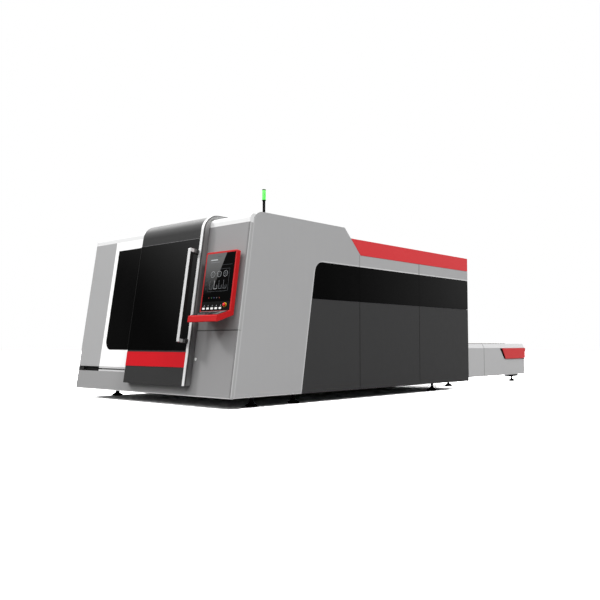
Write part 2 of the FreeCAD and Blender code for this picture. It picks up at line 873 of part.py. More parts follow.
glass_right = f"({DOOR_RIGHT}-strip_width)"
door_glass = new_body("door_glass", "wall")
pad(door_glass, "XY", [rectangle(DOOR_LEFT, glass_right, up_wall("glass_low"),
                                 up_wall("glass_high"))], "door_face", "glass_thick")
keep(door_glass, "door_glass")

door_stripe = new_body("door_stripe", "wall")
pad(door_stripe, "XY", [rectangle(DOOR_LEFT, glass_right, up_wall("stripe_low"),
                                  up_wall("stripe_high"))], "door_face", "stripe_thick")
keep(door_stripe, "door_stripe")

edge_strip = new_body("door_edge_strip")
strip_face = "door_face+glass_thick"
strip_top = "door_top+glass_thick"
pad(edge_strip, "YZ", [[
    door_point("door_low", "door_face"),
    door_point("door_top", "door_face"),
    ("door_back", "door_top"),
    ("door_back", strip_top),
    door_point(strip_top, strip_face),
    door_point("door_low", strip_face),
]], glass_right, "strip_width")
round_off(edge_strip, "YZ", [door_point("door_top", "door_face")], "door_round")
round_off(edge_strip, "YZ", [door_point(strip_top, strip_face)], "door_round+glass_thick")
keep(edge_strip, "door_edge_strip")

handle = new_body("door_handle", "wall")
handle_back = "door_face+glass_thick"
handle_front = f"{handle_back}+handle_reach"
handle_foot = up_wall("handle_low")
handle_head = up_wall("handle_high")
pad(handle, "YZ", [[
    (handle_foot, handle_back),
    (f"{handle_foot}+handle_bar", handle_back),
    (f"{handle_foot}+handle_bar", f"{handle_front}-handle_bar"),
    (f"{handle_head}-handle_bar", f"{handle_front}-handle_bar"),
    (f"{handle_head}-handle_bar", handle_back),
    (handle_head, handle_back),
    (handle_head, handle_front),
    (handle_foot, handle_front),
]], f"{DOOR_RIGHT}-handle_inset-handle_bar", "handle_bar")
round_off(handle, "YZ", [(handle_foot, handle_front), (handle_head, handle_front)], "handle_bar/5")
keep(handle, "door_handle")


def hanger(name, middle):
    """A bracket on the door's rear edge that slides on the roof track."""
    return block(name, f"{middle}-hanger_length/2", f"{middle}+hanger_length/2",
                 "door_back", "door_back+30+track_width",
                 "hood_top+track_height+guide_gap", "door_top-4")


def guide_arm(name, middle):
    """An arm from the door's skin into the lower track, its tip clear of the channel."""
    body = new_body(name, "wall")
    mid_slot = f"({slot_low}+{slot_high})/2"
    pad(body, "XY", [rectangle(f"{middle}-30", f"{middle}+30", f"{mid_slot}-guide_arm/2",
                               f"{mid_slot}+guide_arm/2")],
        "-front_depth+track_wall+4", f"{skin_inside}+front_depth-track_wall-4")
    return body


left_hanger_x = f"{DOOR_LEFT}+hanger_inset"
right_hanger_x = f"{DOOR_RIGHT}-hanger_inset"
keep(group("door_guides", [
    hanger("left_hanger", left_hanger_x),
    hanger("right_hanger", right_hanger_x),
    guide_arm("left_arm", left_hanger_x),
    guide_arm("right_arm", f"{right_hanger_x}-60"),
]), "door_guides")

# Service cover under the console, held by a quarter-turn lock near its left edge.

service_high = up_wall("service_top") + f"-{HALF_SEAM}"
lock_middle = (f"{BAY_EDGE}+lock_inset", up_wall("lock_height"))
service_cover = wall_plate("service_cover", [rectangle(
    f"{BAY_EDGE}+{HALF_SEAM}", right_edge, "0", service_high)], rolled=[right_edge])
pocket(service_cover, "XY", [], "0", "sheet_wall+1", [(*lock_middle, "lock_radius+lock_gap")])
corner_slit(service_cover, "0", service_high)
keep(service_cover, "service_cover")

lock = new_body("service_lock", "wall")
pad(lock, "XY", [], "-16", "18", [(*lock_middle, "lock_radius")])
pad(lock, "XY", [], "guide_gap", "4", [(*lock_middle, "lock_flange")])
pad(lock, "XY", [rectangle(f"{lock_middle[0]}-lock_radius/2", f"{lock_middle[0]}+lock_radius/2",
                           f"{lock_middle[1]}-lock_radius/2", f"{lock_middle[1]}+30")], "-20", "4")
pocket(lock, "XY", [rectangle(f"{lock_middle[0]}-1.5", f"{lock_middle[0]}+1.5",
                              f"{lock_middle[1]}-8", f"{lock_middle[1]}+8")], "guide_gap+4", "3")
keep(lock, "service_lock")

# Operator console: a deep frame with a glass front, and a keyboard tray folded out of its foot.

console = new_body("console_housing", "wall")
pad(console, "XY", [rectangle(CONSOLE_LEFT, CONSOLE_RIGHT, "console_low", "console_high")],
    "console_stand", "console_depth-console_stand")
round_off(console, "XY", [(CONSOLE_LEFT, "console_high"), (CONSOLE_RIGHT, "console_high")],
          "console_corner")
round_off(console, "YZ", [("console_high", "console_depth")], "console_round/3")
pad(console, "XY", [rectangle(f"{CONSOLE_LEFT}+block_inset", f"{CONSOLE_RIGHT}-block_inset",
                              "block_low", "block_high")], "0", "console_stand+1")
tray_left = f"({CONSOLE_LEFT}+tray_inset)"
tray_width = "console_width-tray_inset"
pad(console, "YZ", [[
    ("console_low", "console_stand"),
    ("tray_low", "tray_stand"),
    ("tray_outer", "tray_stand"),
    ("tray_inner", "console_depth"),
    ("tray_inner", "console_stand"),
]], tray_left, tray_width)
round_off(console, "YZ", [("tray_low", "tray_stand")], "tray_round")
round_off(console, "YZ", [("tray_outer", "tray_stand")], "console_round/3")
screen_left = f"{CONSOLE_LEFT}+console_rim"
screen_right = f"{CONSOLE_RIGHT}-console_rim"
pocket(console, "XY", [rectangle(screen_left, screen_right, "screen_low", "screen_high")],
       "console_depth", "screen_thick")
well_low = "screen_low+6"
well_high = "stop_height+stop_head"
pocket(console, "XY", [rectangle(f"{screen_left}+12", f"{screen_right}-12", well_low, well_high)],
       "console_depth-screen_thick", "well_deep")
keep(console, "console_housing")


def key_left(index):
    return f"{CONSOLE_LEFT}+key_first+{index}*key_pitch"


def key_outline(index, gap):
    return rectangle(f"{key_left(index)}-{gap}", f"{key_left(index)}+key_wide+{gap}",
                     f"key_height-key_tall/2-{gap}", f"key_height+key_tall/2+{gap}")


STOP_ACROSS = f"({CONSOLE_LEFT}+stop_offset)"
key_numbers = range(int(SIZES["key_count"]))
screen = new_body("console_screen", "wall")
pad(screen, "XY", [rectangle(f"{screen_left}+pane_gap", f"{screen_right}-pane_gap",
                             "screen_low+pane_gap", "screen_high-pane_gap")]
    + [key_outline(index, "key_gap") for index in key_numbers],
    "console_depth-screen_thick", "screen_thick",
    [(STOP_ACROSS, "stop_height", "stop_stem+key_gap")])
keep(screen, "console_screen")

for index in key_numbers:
    key = new_body(f"push_key_{index + 1}", "wall")
    pad(key, "XY", [key_outline(index, "0")], "console_depth-key_deep", "key_deep+key_proud")
    keep(key, f"push_key_{index + 1}")

stop = new_body("stop_button", "wall")
pad(stop, "XY", [], "console_depth-key_deep", "key_deep+stop_rise/2",
    [(STOP_ACROSS, "stop_height", "stop_stem")])
pad(stop, "XY", [], "console_depth+stop_rise/3", "stop_rise*2/3",
    [(STOP_ACROSS, "stop_height", "stop_head")])
keep(stop, "stop_button")


def tray_point(share, rise):
    """A point over the keyboard tray: share runs down its slope, rise stands out of it."""
    run = "(tray_stand-console_depth)"
    fall = "(tray_inner-tray_outer)"
    slope = f"sqrt({run}*{run}+{fall}*{fall})"
    return (f"tray_inner-({share})*{fall}+({rise})*{run}/{slope}",
            f"console_depth+({share})*{run}+({rise})*{fall}/{slope}")


keyboard = new_body("console_keyboard", "wall")
near = "keyboard_margin/(tray_stand-console_depth)"
pad(keyboard, "YZ", [[
    tray_point(near, "0"),
    tray_point(f"1-2*{near}", "0"),
    tray_point(f"1-2*{near}", "keyboard_thick"),
    tray_point(near, "keyboard_thick"),
]], f"{tray_left}+keyboard_margin", f"{tray_width}-2*keyboard_margin")
keep(keyboard, "console_keyboard")

# Signal lamp on its pole.

pole = new_body("signal_pole")
lamp_spot = ("cabin_width/2-lamp_inset", "lamp_back")
pad(pole, "XY", [], "hood_top", "8", [(*lamp_spot, "pole_flange")])
pad(pole, "XY", [], "hood_top", "lamp_low-hood_top", [(*lamp_spot, "pole_radius")])
keep(pole, "signal_pole")

lamp = new_body("signal_lamp")
pad(lamp, "XY", [], "lamp_low", "lamp_high-lamp_low", [(*lamp_spot, "lamp_radius")])
keep(lamp, "signal_lamp")

# Machine bed: two side beams, each a sill and a flange with posts between them, on cross
# members, with the rails that the gantry runs on.


def bed_block(name, front, back, low, high):
    return block(name, "bed_inner", "bed_inner+bed_beam", front, back, low, high)


SILL_TOP = f"({RAIL_TOP}+bed_sill)"
FLANGE_LOW = "(bed_top-bed_flange)"
post_step = "(bed_end-bed_start-bed_post)/(bed_post_count-1)"
bed_side = [bed_block("bed_sill", "bed_start", "bed_end", RAIL_TOP, SILL_TOP),
            bed_block("bed_flange", "bed_start", "bed_end", FLANGE_LOW, "bed_top")]
for index in range(int(SIZES["bed_post_count"])):
    post_front = f"bed_start+{index}*{post_step}"
    bed_side.append(bed_block(f"bed_post_{index + 1}", post_front, f"{post_front}+bed_post",
                              SILL_TOP, FLANGE_LOW))
bed_beam = group("bed_side", bed_side)
bed_twin = mirrored("bed_twin", bed_beam)
bed_rows = {
    "bed_cross_one": "bed_start+120",
    "bed_cross_two": "bed_start+1180",
    "bed_cross_three": "bed_start+2240",
    "bed_cross_four": "bed_end-180",
}
bed_members = [
    block(name, "-bed_inner", "bed_inner", f"{row}-bed_cross/2", f"{row}+bed_cross/2",
          RAIL_TOP, f"{RAIL_TOP}+bed_cross")
    for name, row in bed_rows.items()
]
keep(group("machine_bed", [bed_beam, bed_twin] + bed_members), "machine_bed")

bed_rail = block("bed_rail", "bed_rail_across-bed_rail_wide/2",
                 "bed_rail_across+bed_rail_wide/2", "bed_start+10", "bed_end-10",
                 "bed_top", "bed_top+bed_rail_high")
keep(group("gantry_rails", [bed_rail, mirrored("bed_rail_twin", bed_rail)]), "gantry_rails")

# Slag hopper: a folded sheet across the bed, under the pallets.

HOPPER_FOOT = f"({RAIL_TOP}+bed_cross)"
hopper = new_body("slag_hopper")
pad(hopper, "XZ", [[
    ("-bed_inner+20", f"{HOPPER_FOOT}+40"),
    ("-250", HOPPER_FOOT),
    ("250", HOPPER_FOOT),
    ("bed_inner-20", f"{HOPPER_FOOT}+40"),
    ("bed_inner-20", f"{HOPPER_FOOT}+40+hopper_wall"),
    ("250", f"{HOPPER_FOOT}+hopper_wall"),
    ("-250", f"{HOPPER_FOOT}+hopper_wall"),
    ("-bed_inner+20", f"{HOPPER_FOOT}+40+hopper_wall"),
]], "-bed_end+120", "bed_end-bed_start-200")
keep(hopper, "slag_hopper")

# Gantry: a tapered box beam on two trucks, its drive motors standing on the trucks.

GANTRY_FOOT = "(bed_top+bed_rail_high+guide_gap)"
GANTRY_SEAT = f"({GANTRY_FOOT}+gantry_foot)"
GANTRY_TOP = f"({GANTRY_SEAT}+gantry_beam_high)"
BEAM_BACK = "(gantry_back+gantry_length/2+gantry_beam_deep/2)"
BEAM_FACE = "(gantry_back+gantry_length/2-gantry_beam_deep/2)"
gantry = new_body("gantry_beam")
pad(gantry, "YZ", [[
    (BEAM_FACE, GANTRY_SEAT),
    (BEAM_BACK, GANTRY_SEAT),
    (BEAM_BACK, f"{GANTRY_TOP}-gantry_beam_high/3"),
    (f"{BEAM_BACK}-gantry_beam_deep/3", GANTRY_TOP),
    (BEAM_FACE, GANTRY_TOP),
]], "-gantry_overhang", "2*gantry_overhang")
for name, height in (("lower", f"{GANTRY_SEAT}+30"), ("upper", f"{GANTRY_TOP}-30-gantry_rail")):
    pad(gantry, "YZ", [rectangle(f"{BEAM_FACE}-gantry_rail", BEAM_FACE, height,
                                 f"{height}+gantry_rail")],
        "-gantry_overhang+60", "2*gantry_overhang-120")
truck_left = "bed_rail_across-110"
truck_right = "bed_rail_across+110"
for left, right in ((truck_left, truck_right), (f"-({truck_right})", f"-({truck_left})")):
    pad(gantry, "XY", [rectangle(left, right, "gantry_back", "gantry_back+gantry_length")],
        GANTRY_FOOT, "gantry_foot")
for side in ("", "-"):
    pad(gantry, "XY", [], GANTRY_TOP + "-1", "motor_high",
        [(f"{side}bed_rail_across", f"{BEAM_FACE}+motor_radius+10", "motor_radius")])
keep(gantry, "gantry_beam")

# Carriage, height slide and cutting head.

CARRIAGE_BACK = f"({BEAM_FACE}-gantry_rail-carriage_gap)"
CARRIAGE_FACE = f"({CARRIAGE_BACK}-carriage_deep)"
carriage = new_body("carriage")
pad(carriage, "YZ", [[
    (CARRIAGE_FACE, f"{GANTRY_SEAT}+10"),
    (CARRIAGE_BACK, f"{GANTRY_SEAT}+10"),
    (CARRIAGE_BACK, f"{GANTRY_TOP}+12"),
    (f"{BEAM_FACE}+80", f"{GANTRY_TOP}+12"),
    (f"{BEAM_FACE}+80", f"{GANTRY_TOP}+40"),
    (CARRIAGE_FACE, f"{GANTRY_TOP}+40"),
]], "-carriage_half", "2*carriage_half")
keep(carriage, "carriage")

SLIDE_BACK = f"({CARRIAGE_FACE}-carriage_gap)"
SLIDE_FACE = f"({SLIDE_BACK}-slide_deep)"
height_slide = new_body("height_slide")
pad(height_slide, "XY", [rectangle("-slide_half", "slide_half", SLIDE_FACE, SLIDE_BACK)],
    "slide_low", "slide_high-slide_low")
pad(height_slide, "XY", [rectangle("-slide_half+20", "slide_half-20", f"{SLIDE_FACE}-60",
                                   SLIDE_FACE)], "slide_high-110", "30")
keep(height_slide, "height_slide")

head = new_body("cutting_head")
head_y = f"{SLIDE_FACE}-head_radius"
head_sketch = new_sketch(head, "XZ", f"-({head_y})")
add_outline(head_sketch, [
    ("0", "head_tip"),
    ("2.5", "head_tip"),
    ("9", "head_tip+16"),
    ("14", "head_tip+20"),
    ("14", "head_tip+44"),
    ("26", "head_tip+60"),
    ("30", "head_tip+110"),
    ("head_radius", "head_tip+128"),
    ("head_radius", "head_tip+330"),
    ("head_radius*0.7", "head_tip+350"),
    ("head_radius*0.7", "head_tip+430"),
    ("0", "head_tip+430"),
])
head_turn = head.newObject("PartDesign::Revolution", "head_turned")
head_turn.Profile = head_sketch
head_turn.ReferenceAxis = (head_sketch, ["V_Axis"])
head_turn.Angle = 360
document.recompute()
keep(head, "cutting_head")

# Laser source: a slotted cabinet on the base frame in the front left bay.

source = new_body("laser_source")
SOURCE_FRONT = "(foot_row_one-tube_size/2)"
SOURCE_LEFT = f"(source_inset-{INNER_X})"
pad(source, "XY", [rectangle(SOURCE_LEFT, f"{SOURCE_LEFT}+source_wide", SOURCE_FRONT,
                             f"{SOURCE_FRONT}+source_long")], RAIL_TOP, "source_high")
slot = pocket(source, "XZ", [rectangle(f"{SOURCE_LEFT}+80", f"{SOURCE_LEFT}+source_wide-80",
                                       f"{RAIL_TOP}+120", f"{RAIL_TOP}+135")],
              f"-({SOURCE_FRONT})", "12")
slots = source.newObject("PartDesign::LinearPattern", "source_slots")
slots.Originals = [slot]
slots.Direction = (slot.Profile[0], ["V_Axis"])
slots.Occurrences = 5
slots.Length = 160
source.Tip = slots
document.recompute()
keep(source, "laser_source")

# Exchange table: side beams on cross members, folded side covers with a slanted lip, an end
# cover and the red corner caps.  Distances along the table start at the cabin's rear wall.

TABLE_END = "(cabin_length+table_length)"
TABLE_FRAME_LOW = "floor_gap"
COVER_IN = f"({TABLE_HALF}-panel_depth)"


def on_table(distance):
    return f"(cabin_length+{distance})"


table_beam = block("table_beam", "bed_inner", COVER_IN, on_table("10"),
                   f"{TABLE_END}-panel_depth", TABLE_FRAME_LOW, "table_beam_top")
table_rows = {
    "table_cross_one": on_table("table_foot_one"),
    "table_cross_two": on_table("table_seam"),
    "table_cross_three": on_table("table_foot_two"),
    "table_cross_four": f"{TABLE_END}-panel_depth-drive_back",
}
table_members = [
    block(name, "-bed_inner", "bed_inner", f"{row}-tube_size/2", f"{row}+tube_size/2",
          TABLE_FRAME_LOW, f"{TABLE_FRAME_LOW}+tube_size")
    for name, row in table_rows.items()
]
keep(group("table_frame", [table_beam, mirrored("table_beam_twin", table_beam)] + table_members),
     "table_frame")


def table_cover(name, front, back):
    """A bent side cover, upright, with a lip that slants in towards the pallets."""
    body = new_body(name)
    pad(body, "XZ", [[
        (TABLE_HALF, "floor_gap"),
        (TABLE_HALF, "table_side_top"),
        (f"{TABLE_HALF}-table_lip", "table_top"),
        ("bed_inner", "table_top"),
        ("bed_inner", "table_top-sheet_wall"),
        (f"{TABLE_HALF}-table_lip-sheet_wall*0.6", "table_top-sheet_wall"),
        (f"{TABLE_HALF}-sheet_wall", "table_side_top-sheet_wall*0.25"),
        (f"{TABLE_HALF}-sheet_wall", "floor_gap+sheet_wall"),
        (COVER_IN, "floor_gap+sheet_wall"),
        (COVER_IN, "floor_gap"),
    ]], f"-({back})", f"({back})-({front})")
    return body


covers = group("covers_right", [
    table_cover("cover_front", on_table("0.3"), on_table(f"table_seam-{HALF_SEAM}")),
    table_cover("cover_rear", on_table(f"table_seam+{HALF_SEAM}"), f"{TABLE_END}-panel_depth"),
])
keep(group("table_side_covers", [covers, mirrored("covers_left", covers)]), "table_side_covers")

end_cover = new_body("table_end_cover")
pad(end_cover, "XZ", [[
    (f"-{TABLE_HALF}", "floor_gap"),
    (TABLE_HALF, "floor_gap"),
    (TABLE_HALF, "table_side_top"),
    (f"{TABLE_HALF}-table_lip", "table_top"),
    (f"-{TABLE_HALF}+table_lip", "table_top"),
    (f"-{TABLE_HALF}", "table_side_top"),
]], f"-{TABLE_END}", "panel_depth")
hollow(end_cover, "XZ", "low")
keep(end_cover, "table_end_cover")

corner_cap = new_body("corner_cap")
pad(corner_cap, "YZ", [[
    (on_table("cap_low_start"), "cap_low"),
    (f"{TABLE_END}+cap_proud", "cap_low"),
    (f"{TABLE_END}+cap_proud", "cap_high"),
    (on_table("cap_top_start"), "cap_high"),
]], TABLE_HALF, "cap_proud")
pad(corner_cap, "XZ", [[
    (f"{TABLE_HALF}+cap_proud", "cap_low"),
    (f"{TABLE_HALF}+cap_proud", "cap_high"),
    (f"{TABLE_HALF}-cap_wrap", "cap_high"),
    (f"{TABLE_HALF}-cap_wrap+(cap_high-cap_low)*0.7", "cap_low"),
]], f"-{TABLE_END}-cap_proud", "cap_proud")
keep(group("table_corner_caps", [corner_cap, mirrored("corner_cap_twin", corner_cap)]),
     "table_corner_caps")

# Pallet rails: angle rails at two levels, bolted inside the bed and inside the table.

UPPER_FRAME_LOW = "(slat_top-slat_sink-pallet_tube)"
UPPER_AXLE = f"({UPPER_FRAME_LOW}+pallet_tube/2-10)"


def rail(name, front, back, top):
    body = new_body(name)
    pad(body, "XZ", [[
        ("bed_inner-rail_reach", top),
        ("bed_inner-rail_reach", f"{top}-rail_shelf"),
        ("bed_inner-rail_shelf", f"{top}-rail_shelf"),
        ("bed_inner-rail_shelf", f"{top}-rail_leg"),
        ("bed_inner", f"{top}-rail_leg"),
        ("bed_inner", top),
    ]], f"-({back})", f"({back})-({front})")
    return body


UPPER_RAIL = f"({UPPER_AXLE}-wheel_radius-guide_gap)"
LOWER_RAIL = f"({UPPER_RAIL}-level_step)"
rail_back = f"({TABLE_END}-panel_depth-10)"
rails_right = group("rails_right", [
    rail("upper_rail", "rail_start", rail_back, UPPER_RAIL),
    rail("lower_rail", "rail_start", rail_back, LOWER_RAIL),
])
keep(group("pallet_rails", [rails_right, mirrored("rails_left", rails_right)]), "pallet_rails")

# Pallets: a welded tube frame on eight wheels, filled with saw-toothed support slats.


def pallet(name, front, drop):
    """One pallet frame with its wheels; drop lowers it to its own level."""
    low = f"({UPPER_FRAME_LOW}-{drop})"
    axle = f"({UPPER_AXLE}-{drop})"
    back = f"({front}+pallet_long)"
    body = new_body(name)
    pad(body, "XY", [
        rectangle("-pallet_half", "pallet_half", front, back),
        rectangle("-pallet_half+pallet_tube", "pallet_half-pallet_tube",
                  f"{front}+pallet_tube", f"{back}-pallet_tube"),
    ], low, "pallet_tube")
    for side, start in (("right", "pallet_half"), ("left", "-pallet_half-wheel_gap-wheel_wide")):
        for spot in (f"{front}+wheel_inset", f"{back}-wheel_inset"):
            for radius, begin, length in (
                    ("wheel_radius/3", start if side == "right" else "-pallet_half-wheel_gap",
                     "wheel_gap"),
                    ("wheel_radius", "pallet_half+wheel_gap" if side == "right" else start,
                     "wheel_wide")):
                pad(body, "YZ", [], begin, length, [(spot, axle, radius)])
    return body


def slats(name, front, drop):
    """Saw-toothed plates across the pallet, standing in the frame at one pitch."""
    top = f"(slat_top-{drop})"
    half = "(pallet_half-pallet_tube-pane_gap)"
    start = f"({front}+pallet_tube+30)"
    run = f"(pallet_long-2*pallet_tube-60-slat_thick)"
    teeth = int(SIZES["slat_teeth"])
    outline = [(f"-{half}", f"{top}-slat_tall"), (half, f"{top}-slat_tall")]
    for number in range(teeth, 0, -1):
        outline.append((f"-{half}+2*{half}*{number}/slat_teeth", f"{top}-tooth_deep"))
        outline.append((f"-{half}+2*{half}*({number}-0.5)/slat_teeth", top))
    outline.append((f"-{half}", f"{top}-tooth_deep"))
    body = new_body(name)
    body.AllowCompound = True
    first = pad(body, "XZ", [outline], f"-{start}-slat_thick", "slat_thick")
    row = body.newObject("PartDesign::LinearPattern", name + "_row")
    row.Originals = [first]
    row.Direction = (first.Profile[0], ["N_Axis"])
    row.Reversed = True
    bind(row, "Occurrences", "slat_count")
    bind(row, "Length", run)
    body.Tip = row
    document.recompute()
    return body


table_front = on_table("pallet_start")
inside_front = f"({table_front}-pallet_travel)"
keep(pallet("upper_pallet", table_front, "0"), "upper_pallet")
keep(slats("upper_slats", table_front, "0"), "upper_slats")
keep(pallet("lower_pallet", inside_front, "level_step"), "lower_pallet")
keep(slats("lower_slats", inside_front, "level_step"), "lower_slats")

# Shuttle drive: a sprocket shaft behind the pallets, turned by a geared motor, two idlers at the
# cabin, and a chain on each side.

DRIVE_Y = f"({TABLE_END}-panel_depth-drive_back)"
IDLER_Y = on_table("idler_front")


drive_shaft = new_body("drive_shaft")
pad(drive_shaft, "YZ", [], "-bed_inner+guide_gap", "2*bed_inner-2*guide_gap",
    [(DRIVE_Y, "drive_height", "shaft_radius")])
for middle in ("chain_across", "-chain_across"):
    pad(drive_shaft, "YZ", [], f"{middle}-sprocket_wide/2", "sprocket_wide",
        [(DRIVE_Y, "drive_height", "sprocket_radius-chain_gap")])
keep(drive_shaft, "shuttle_drive_shaft")

idler = new_body("idler")
pad(idler, "YZ", [], "idler_stub", "bed_inner-guide_gap-idler_stub",
    [(IDLER_Y, "drive_height", "shaft_radius")])
pad(idler, "YZ", [], "chain_across-sprocket_wide/2", "sprocket_wide",
    [(IDLER_Y, "drive_height", "sprocket_radius-chain_gap")])
keep(group("shuttle_idlers", [idler, mirrored("idler_twin", idler)]), "shuttle_idlers")


def chain_loop(name, middle):
    """A closed chain run, wrapped round both sprockets."""
    outer = "(sprocket_radius+chain_thick)"
    body = new_body(name)
    start = f"{middle}-chain_wide/2"
    pad(body, "YZ", [rectangle(IDLER_Y, DRIVE_Y, f"drive_height-{outer}", f"drive_height+{outer}")],
        start, "chain_wide")
    for place in (IDLER_Y, DRIVE_Y):
        pad(body, "YZ", [], start, "chain_wide", [(place, "drive_height", outer)])
    pocket(body, "YZ", [rectangle(IDLER_Y, DRIVE_Y, "drive_height-sprocket_radius",
                                  "drive_height+sprocket_radius")],
           f"{start}+chain_wide", "chain_wide")
    for place in (IDLER_Y, DRIVE_Y):
        pocket(body, "YZ", [], f"{start}+chain_wide", "chain_wide",
               [(place, "drive_height", "sprocket_radius")])
    return body


keep(group("shuttle_chains", [chain_loop("right_chain", "chain_across"),
                              chain_loop("left_chain", "-chain_across")]), "shuttle_chains")

gear_motor = new_body("shuttle_gear_motor")
pad(gear_motor, "XY", [], f"{TABLE_FRAME_LOW}+tube_size",
    f"gearbox_low-{TABLE_FRAME_LOW}-tube_size", [("0", DRIVE_Y, "shuttle_motor_radius")])
pad(gear_motor, "XY", [rectangle("-gearbox_half", "gearbox_half", f"{DRIVE_Y}-gearbox_deep/2+14",
                                 f"{DRIVE_Y}+gearbox_deep/2+14")],
    "gearbox_low", "gearbox_high-gearbox_low")
pocket(gear_motor, "YZ", [], "gearbox_half", "2*gearbox_half",
       [(DRIVE_Y, "drive_height", "shaft_radius+guide_gap")])
keep(gear_motor, "shuttle_motor")

# Levelling feet: a threaded stud on a wide pad; the table's feet hold on flat brackets.


def foot(name, across, row, top, radius="foot_radius"):
    body = new_body(name)
    sketch = new_sketch(body, "XZ", "0")
    add_outline(sketch, [
        ("0", "0"),
        (radius, "0"),
        (radius, "foot_disc"),
        ("foot_neck", "foot_disc+foot_cone"),
        ("stud_radius", "foot_disc+foot_cone"),
        ("stud_radius", top),
        ("0", top),
    ])
    turned = body.newObject("PartDesign::Revolution", name + "_turned")
    turned.Profile = sketch
    turned.ReferenceAxis = (sketch, ["V_Axis"])
    turned.Angle = 360
    bind(body, "Placement.Base.x", across)
    bind(body, "Placement.Base.y", f"{ORIGIN_Y}+{row}")
    document.recompute()
    return body


foot_x = "(cabin_width/2-foot_inset)"
bracket_low = "floor_gap-bracket_thick"
feet = [
    foot("foot_one", foot_x, "foot_row_one", RAIL_LOW),
    foot("foot_two", foot_x, "foot_row_two", RAIL_LOW),
    foot("foot_three", foot_x, "foot_row_three", RAIL_LOW),
]
for number, distance in (("four", "table_foot_one"), ("five", "table_foot_two")):
    row = on_table(distance)
    feet.append(foot("foot_" + number, "table_foot_across", row, bracket_low,
                     "table_foot_radius"))
    feet.append(block("bracket_" + number, "table_foot_across-bracket_wide/2",
                      "table_foot_across+bracket_wide/2", f"{row}-bracket_long/2",
                      f"{row}+bracket_long/2", bracket_low, "floor_gap"))
feet_right = group("feet_right", feet)
keep(group("levelling_feet", [feet_right, mirrored("feet_left", feet_right)]), "levelling_feet")

# Every object has to be sound before anything is written.

document.recompute()
for thing in document.Objects:
    if "Invalid" in thing.State or "Error" in thing.State:
        raise ValueError(f"{thing.Label} failed: {thing.State}")
for thing in kept:
    if thing.Shape.isNull() or not thing.Shape.isValid() or not thing.Shape.Solids:
        raise ValueError(f"{thing.Label} has no sound shape")

os.makedirs("parts", exist_ok=True)
for thing in kept:
    thing.Shape.exportStep(f"parts/{thing.Label}.step")
    print(thing.Label, len(thing.Shape.Solids), round(thing.Shape.Volume / 1e6, 3))
print(len(kept), "nodes")
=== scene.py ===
import math

import bmesh
import bpy
import numpy as np
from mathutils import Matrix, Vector


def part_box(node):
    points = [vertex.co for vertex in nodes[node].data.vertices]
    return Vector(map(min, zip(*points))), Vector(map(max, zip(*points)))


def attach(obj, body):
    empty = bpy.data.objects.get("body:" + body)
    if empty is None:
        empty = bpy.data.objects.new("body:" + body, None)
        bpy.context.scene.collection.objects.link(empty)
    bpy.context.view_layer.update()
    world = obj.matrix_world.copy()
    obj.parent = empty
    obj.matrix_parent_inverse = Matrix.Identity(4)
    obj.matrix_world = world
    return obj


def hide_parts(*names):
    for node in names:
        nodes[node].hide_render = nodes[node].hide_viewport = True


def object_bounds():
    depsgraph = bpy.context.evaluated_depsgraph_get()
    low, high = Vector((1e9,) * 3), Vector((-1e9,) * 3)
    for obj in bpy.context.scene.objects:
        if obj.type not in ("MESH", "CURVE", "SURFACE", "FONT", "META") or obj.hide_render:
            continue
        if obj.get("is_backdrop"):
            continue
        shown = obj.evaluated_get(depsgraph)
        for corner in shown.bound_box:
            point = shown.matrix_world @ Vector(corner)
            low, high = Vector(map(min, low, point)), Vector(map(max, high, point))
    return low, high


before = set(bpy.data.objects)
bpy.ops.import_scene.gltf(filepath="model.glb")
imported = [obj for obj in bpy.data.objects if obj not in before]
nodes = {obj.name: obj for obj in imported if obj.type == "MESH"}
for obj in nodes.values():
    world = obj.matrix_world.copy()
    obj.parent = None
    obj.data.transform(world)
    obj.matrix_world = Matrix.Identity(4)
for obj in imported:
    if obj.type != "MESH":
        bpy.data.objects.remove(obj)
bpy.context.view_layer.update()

# Camera: it stands low at the operator's right and looks a little upwards, as in the photograph.
# The lens and the place are fitted to the machine's straight edges.

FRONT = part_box("front_plinth")[0][1]
CAMERA_PLACE = (7.506, FRONT - 5.360, 0.741)
CAMERA_AZIMUTH, CAMERA_PITCH = 42.17, 3.51
CAMERA_LENS, CAMERA_REACH = 42.88, 200.0


def add_object(name, data):
    """A new object in the scene, at the origin."""
    thing = bpy.data.objects.new(name, data)
    bpy.context.scene.collection.objects.link(thing)
    return thing


def look_in(thing, azimuth, height):
    """Turns a camera or light to look in from an azimuth, 0 in front and 90 at the right."""
    turn, rise = math.radians(azimuth), math.radians(height)
    there = Vector((math.sin(turn) * math.cos(rise), -math.cos(turn) * math.cos(rise),
                    math.sin(rise)))
    thing.rotation_mode = "QUATERNION"
    thing.rotation_quaternion = (-there).to_track_quat("-Z", "Y")
    return there


camera = add_object("camera", bpy.data.cameras.new("camera"))
camera.data.sensor_width = 36.0
camera.data.lens = CAMERA_LENS
camera.data.clip_end = CAMERA_REACH
camera.location = CAMERA_PLACE
look_in(camera, CAMERA_AZIMUTH, -CAMERA_PITCH)
bpy.context.scene.camera = camera
bpy.context.scene.view_settings.view_transform = "Standard"

# Studio: a dim room under a large bright ceiling, which leaves upright gloss dark and lights what
# faces up.  The wall behind the machine glows, a softbox stands at the front left, and one distant
# light shines from the front left and one from the right.  The camera sees a plain white room.

ROOM_WALLS, ROOM_CEILING, ROOM_SEEN = 0.03, 2.25, 1.0
CEILING_EDGE, CEILING_FULL = 0.24, 0.72
BACK_AIM, BACK_LIGHT = (-0.34, 0.94, 0.05), 0.85
SOFTBOX_AIM, SOFTBOX_LIGHT = (-0.346, -0.742, 0.574), 0.85
SUN_PLACE = 12.0


